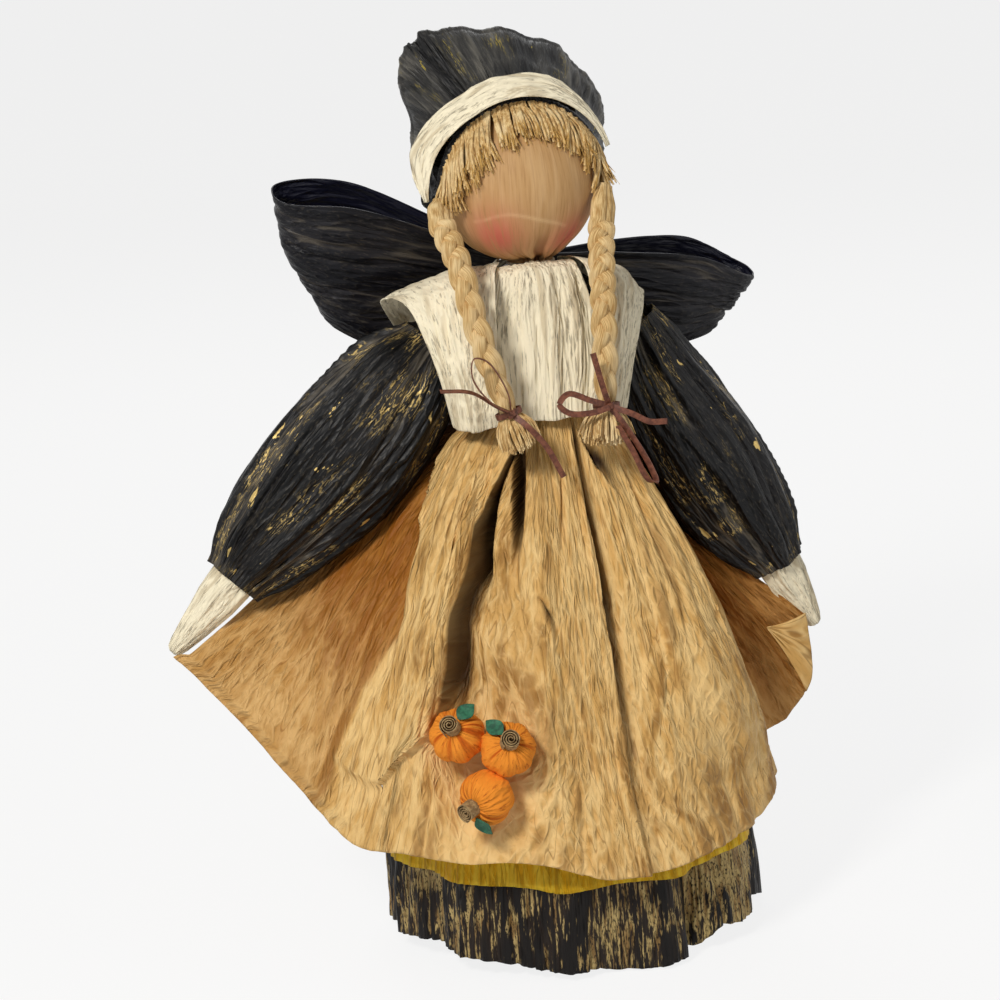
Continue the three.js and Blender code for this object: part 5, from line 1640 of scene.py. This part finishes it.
def pumpkin_ball(put, k):
    """Crepe ball with soft lobes, drawn in at its top."""
    def at(u, v):
        turn, tilt = 2 * np.pi * u, np.pi * (0.012 + 0.976 * v)
        lobe = 1 + 0.035 * np.cos(7 * turn + k) + 0.012 * np.cos(15 * turn)
        radius = PUMPKIN_RADIUS * np.sin(tilt) ** 0.92 * lobe
        height = -0.9 * PUMPKIN_RADIUS * np.cos(tilt) - 1.6 * bell(tilt, np.pi, 0.5)
        return put(radius * np.cos(turn), radius * np.sin(turn), height)
    return at


def pumpkin_gathers(k):
    """Gathers of the crepe, deepest toward its two ends."""
    def relief(u, v):
        bold = 0.5 - np.abs(2 * field(u, v, 30, 1.3, 281 + k, ring=True) - 1)
        return 0.9 * bold * (0.35 + 0.65 * np.abs(2 * v - 1)) * between(v, 0.0, 0.1, 0.95, 1.0)
    return relief


def rolled_stem(put):
    """Strip of paper rolled up to a stem."""
    def at(u, v):
        turn, radius = 2 * np.pi * STEM_TURNS * u, STEM_CORE + (STEM_RADIUS - STEM_CORE) * u
        return put(radius * np.cos(turn), radius * np.sin(turn), PUMPKIN_TOP - STEM_SUNK + STEM_HEIGHT * v)
    return at


def paper_leaf(put, degrees):
    """Small pointed leaf that droops from the foot of the stem."""
    c, s = math.cos(math.radians(degrees)), math.sin(math.radians(degrees))

    def at(u, v):
        long = LEAF_LENGTH * v
        half = LEAF_HALF_WIDTH * np.sin(np.pi * np.clip(v, 0.02, 0.98)) ** 0.8 * (1 - 0.25 * v)
        x, y = half * (2 * u - 1), 4.5 + 0.92 * long
        z = PUMPKIN_TOP + 0.3 - 0.03 * long**2 + 0.035 * x**2 + 0.3 * np.sin(0.9 * long)
        return put(x * c - y * s, x * s + y * c, z)
    return at


class DOLL_OT_pumpkins(bpy.types.Operator):
    """Makes the three crepe pumpkins with rolled stems and paper leaves"""

    bl_idname = "paper_doll.pumpkins"
    bl_label = "Pumpkins"

    def execute(self, context):
        for k, (axis, leaf_turn) in enumerate(PUMPKINS):
            low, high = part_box(f"pumpkin_{k + 1}")
            put = on_axis(np.array((low + high) / 2) / MM, axis)
            piece = round_form(f"crepe_pumpkin_{k + 1}", pumpkin_ball(put, k), 110, 70, (72.0, 34.0),
                               finish_of("orange"), relief=pumpkin_gathers(k))
            dress(piece, "torso", "orange", f"pumpkin_{k + 1}")
            stem = paper_sheet(f"rolled_stem_{k + 1}", rolled_stem(put), 110, 12, (56.0, 6.0),
                               finish_of("stem"), thickness=TRIM_SHEET,
                               relief=lambda u, v, k=k: 0.15 * (field(u, v, 20, 2, 291 + k) - 0.5))
            dress(stem, "torso", "stem", f"pumpkin_stem_{k + 1}")
            leaf = paper_sheet(f"paper_leaf_{k + 1}", paper_leaf(put, leaf_turn), 20, 36, (9.0, 10.0),
                               finish_of("green"), thickness=TRIM_SHEET)
            dress(leaf, "torso", "green", f"pumpkin_leaf_{k + 1}")
        return {"FINISHED"}


# Hidden core

CORE = {"foam_cone": "foam", "head_ball": "foam", "neck_dowel": "wood", "shoulder_wire": "wire",
        "right_arm_wire": "wire", "left_arm_wire": "wire"}


class DOLL_OT_core(bpy.types.Operator):
    """Finishes the foam, wood and wire that carry the doll"""

    bl_idname = "paper_doll.core"
    bl_label = "Core"

    def execute(self, context):
        for name, key in CORE.items():
            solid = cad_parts[name]
            solid.data.materials.clear()
            solid.data.materials.append(finish_of(key))
        return {"FINISHED"}


# Stage, in metres

FLOOR_HALF = 6.0
# The camera's aim, its distance, and in degrees its turn to the doll's right, its rise and its roll
CAMERA_AIM, CAMERA_DISTANCE = (-0.018985, 0.005081, 0.193954), 1.6
CAMERA_TURN, CAMERA_RISE, CAMERA_ROLL = 15.0, 14.0, -3.746
LENS, SENSOR, CLIP_END = 131.93, 36.0, 20.0
FLOOR_GLOW, SKY_LIGHT = 0.84, 0.16
LAMP_AIM = Vector((0, 0, 0.2))
# Place, size, share of the main power and colour of each lamp
LAMPS = {
    "key_lamp": ((-0.9, -1.0, 1.2), 0.3, 1.0, (1.0, 0.97, 0.92)),
    "fill_lamp": ((1.1, -0.9, 0.75), 0.9, 0.16, (1.0, 0.98, 0.95)),
    "rim_lamp": ((0.3, 1.2, 1.1), 0.8, 0.3, (1.0, 1.0, 1.0)),
}


def white_rays(tree):
    """1 for the rays that see the background: those of the camera, mirrors and glass."""
    path = node(tree, "ShaderNodeLightPath").outputs
    total = path["Is Camera Ray"]
    for name in ("Is Glossy Ray", "Is Transmission Ray"):
        both = node(tree, "ShaderNodeMath", {0: total, 1: path[name]}, operation="ADD", use_clamp=True)
        total = both.outputs[0]
    return total


def stage_material():
    """Pale floor that looks nearly white to the camera and keeps the doll's soft shadow."""
    material = bpy.data.materials.new("stage_floor")
    material.use_nodes = True
    tree = material.node_tree
    shader = tree.nodes["Principled BSDF"]
    feed(shader, {"Base Color": (0.86, 0.86, 0.86, 1), "Roughness": 0.95, "Specular IOR Level": 0.0})
    share = node(tree, "ShaderNodeMath", {0: white_rays(tree), 1: FLOOR_GLOW}, operation="MULTIPLY")
    glow = node(tree, "ShaderNodeEmission", {"Color": (1, 1, 1, 1), "Strength": 1.0})
    mix = node(tree, "ShaderNodeMixShader", {0: share.outputs[0], 1: shader.outputs[0], 2: glow.outputs[0]})
    feed(tree.nodes["Material Output"], {"Surface": mix.outputs[0]})
    return material


class DOLL_OT_stage(bpy.types.Operator):
    """Sets the floor, the light and the camera"""

    bl_idname = "paper_doll.stage"
    bl_label = "Stage"

    def execute(self, context):
        scene = context.scene
        scene.view_settings.view_transform = "Standard"
        scene.world = scene.world or bpy.data.worlds.new("studio")
        self.sky(scene.world)
        self.floor()
        for name, (place, size, share, colour) in LAMPS.items():
            self.lamp(name, place, size, share * settings().light, colour)
        self.camera(scene)
        return {"FINISHED"}

    def sky(self, world):
        """Soft dim light all round, which the camera sees as white."""
        world.use_nodes = True
        tree = world.node_tree
        tree.nodes.clear()
        dim = node(tree, "ShaderNodeBackground", {"Color": (1, 0.985, 0.96, 1), "Strength": SKY_LIGHT})
        white = node(tree, "ShaderNodeBackground", {"Color": (1, 1, 1, 1), "Strength": 1.0})
        parts = {0: white_rays(tree), 1: dim.outputs[0], 2: white.outputs[0]}
        mix = node(tree, "ShaderNodeMixShader", parts)
        node(tree, "ShaderNodeOutputWorld", {0: mix.outputs[0]})

    def floor(self):
        mesh = bpy.data.meshes.new("floor")
        corners = [(FLOOR_HALF * x, FLOOR_HALF * y, 0) for x, y in ((-1, -1), (1, -1), (1, 1), (-1, 1))]
        mesh.from_pydata(corners, [], [(0, 1, 2, 3)])
        mesh.materials.append(stage_material())
        link(mesh, "floor")

    def lamp(self, name, place, size, power, colour):
        data = bpy.data.lights.new(name, "AREA")
        data.energy, data.size, data.color = power, size, colour
        lamp = link(data, name)
        lamp.location = place
        lamp.rotation_mode = "QUATERNION"
        lamp.rotation_quaternion = (LAMP_AIM - Vector(place)).to_track_quat("-Z", "Y")

    def camera(self, scene):
        data = bpy.data.cameras.new("camera")
        data.sensor_width, data.lens, data.clip_end = SENSOR, LENS, CLIP_END
        turns = ((-CAMERA_TURN, "Z"), (90 - CAMERA_RISE, "X"), (CAMERA_ROLL, "Z"))
        place = Matrix.Translation(CAMERA_AIM)
        for degrees, axis in turns:
            place = place @ Matrix.Rotation(math.radians(degrees), 4, axis)
        scene.camera = link(data, "camera")
        scene.camera.matrix_world = place @ Matrix.Translation((0, 0, CAMERA_DISTANCE))


# Panel and registration

STEPS = ["stage", "core", "skirts", "apron", "bodice", "bow", "head", "fringe", "bonnet", "plaits", "arms",
         "pumpkins"]


class DOLL_PT_panel(bpy.types.Panel):
    """Lists the doll's settings and the steps that dress it"""

    bl_idname = "DOLL_PT_panel"
    bl_label = "Paper doll"
    bl_space_type = "VIEW_3D"
    bl_region_type = "UI"
    bl_category = "Paper doll"

    def draw(self, context):
        for name in PaperDollSettings.__annotations__:
            self.layout.prop(context.scene.paper_doll, name)
        for step in STEPS:
            self.layout.operator("paper_doll." + step)


CLASSES = [PaperDollSettings, DOLL_OT_stage, DOLL_OT_core, DOLL_OT_skirts, DOLL_OT_apron, DOLL_OT_bodice,
           DOLL_OT_bow, DOLL_OT_head, DOLL_OT_fringe, DOLL_OT_bonnet, DOLL_OT_plaits, DOLL_OT_arms,
           DOLL_OT_pumpkins, DOLL_PT_panel]


def register():
    for each in CLASSES:
        bpy.utils.register_class(each)
    bpy.types.Scene.paper_doll = bpy.props.PointerProperty(type=PaperDollSettings)


def unregister():
    del bpy.types.Scene.paper_doll
    for each in reversed(CLASSES):
        bpy.utils.unregister_class(each)


def main():
    register()
    for step in STEPS:
        getattr(bpy.ops.paper_doll, step)()
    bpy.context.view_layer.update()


if __name__ == "__main__":
    main()
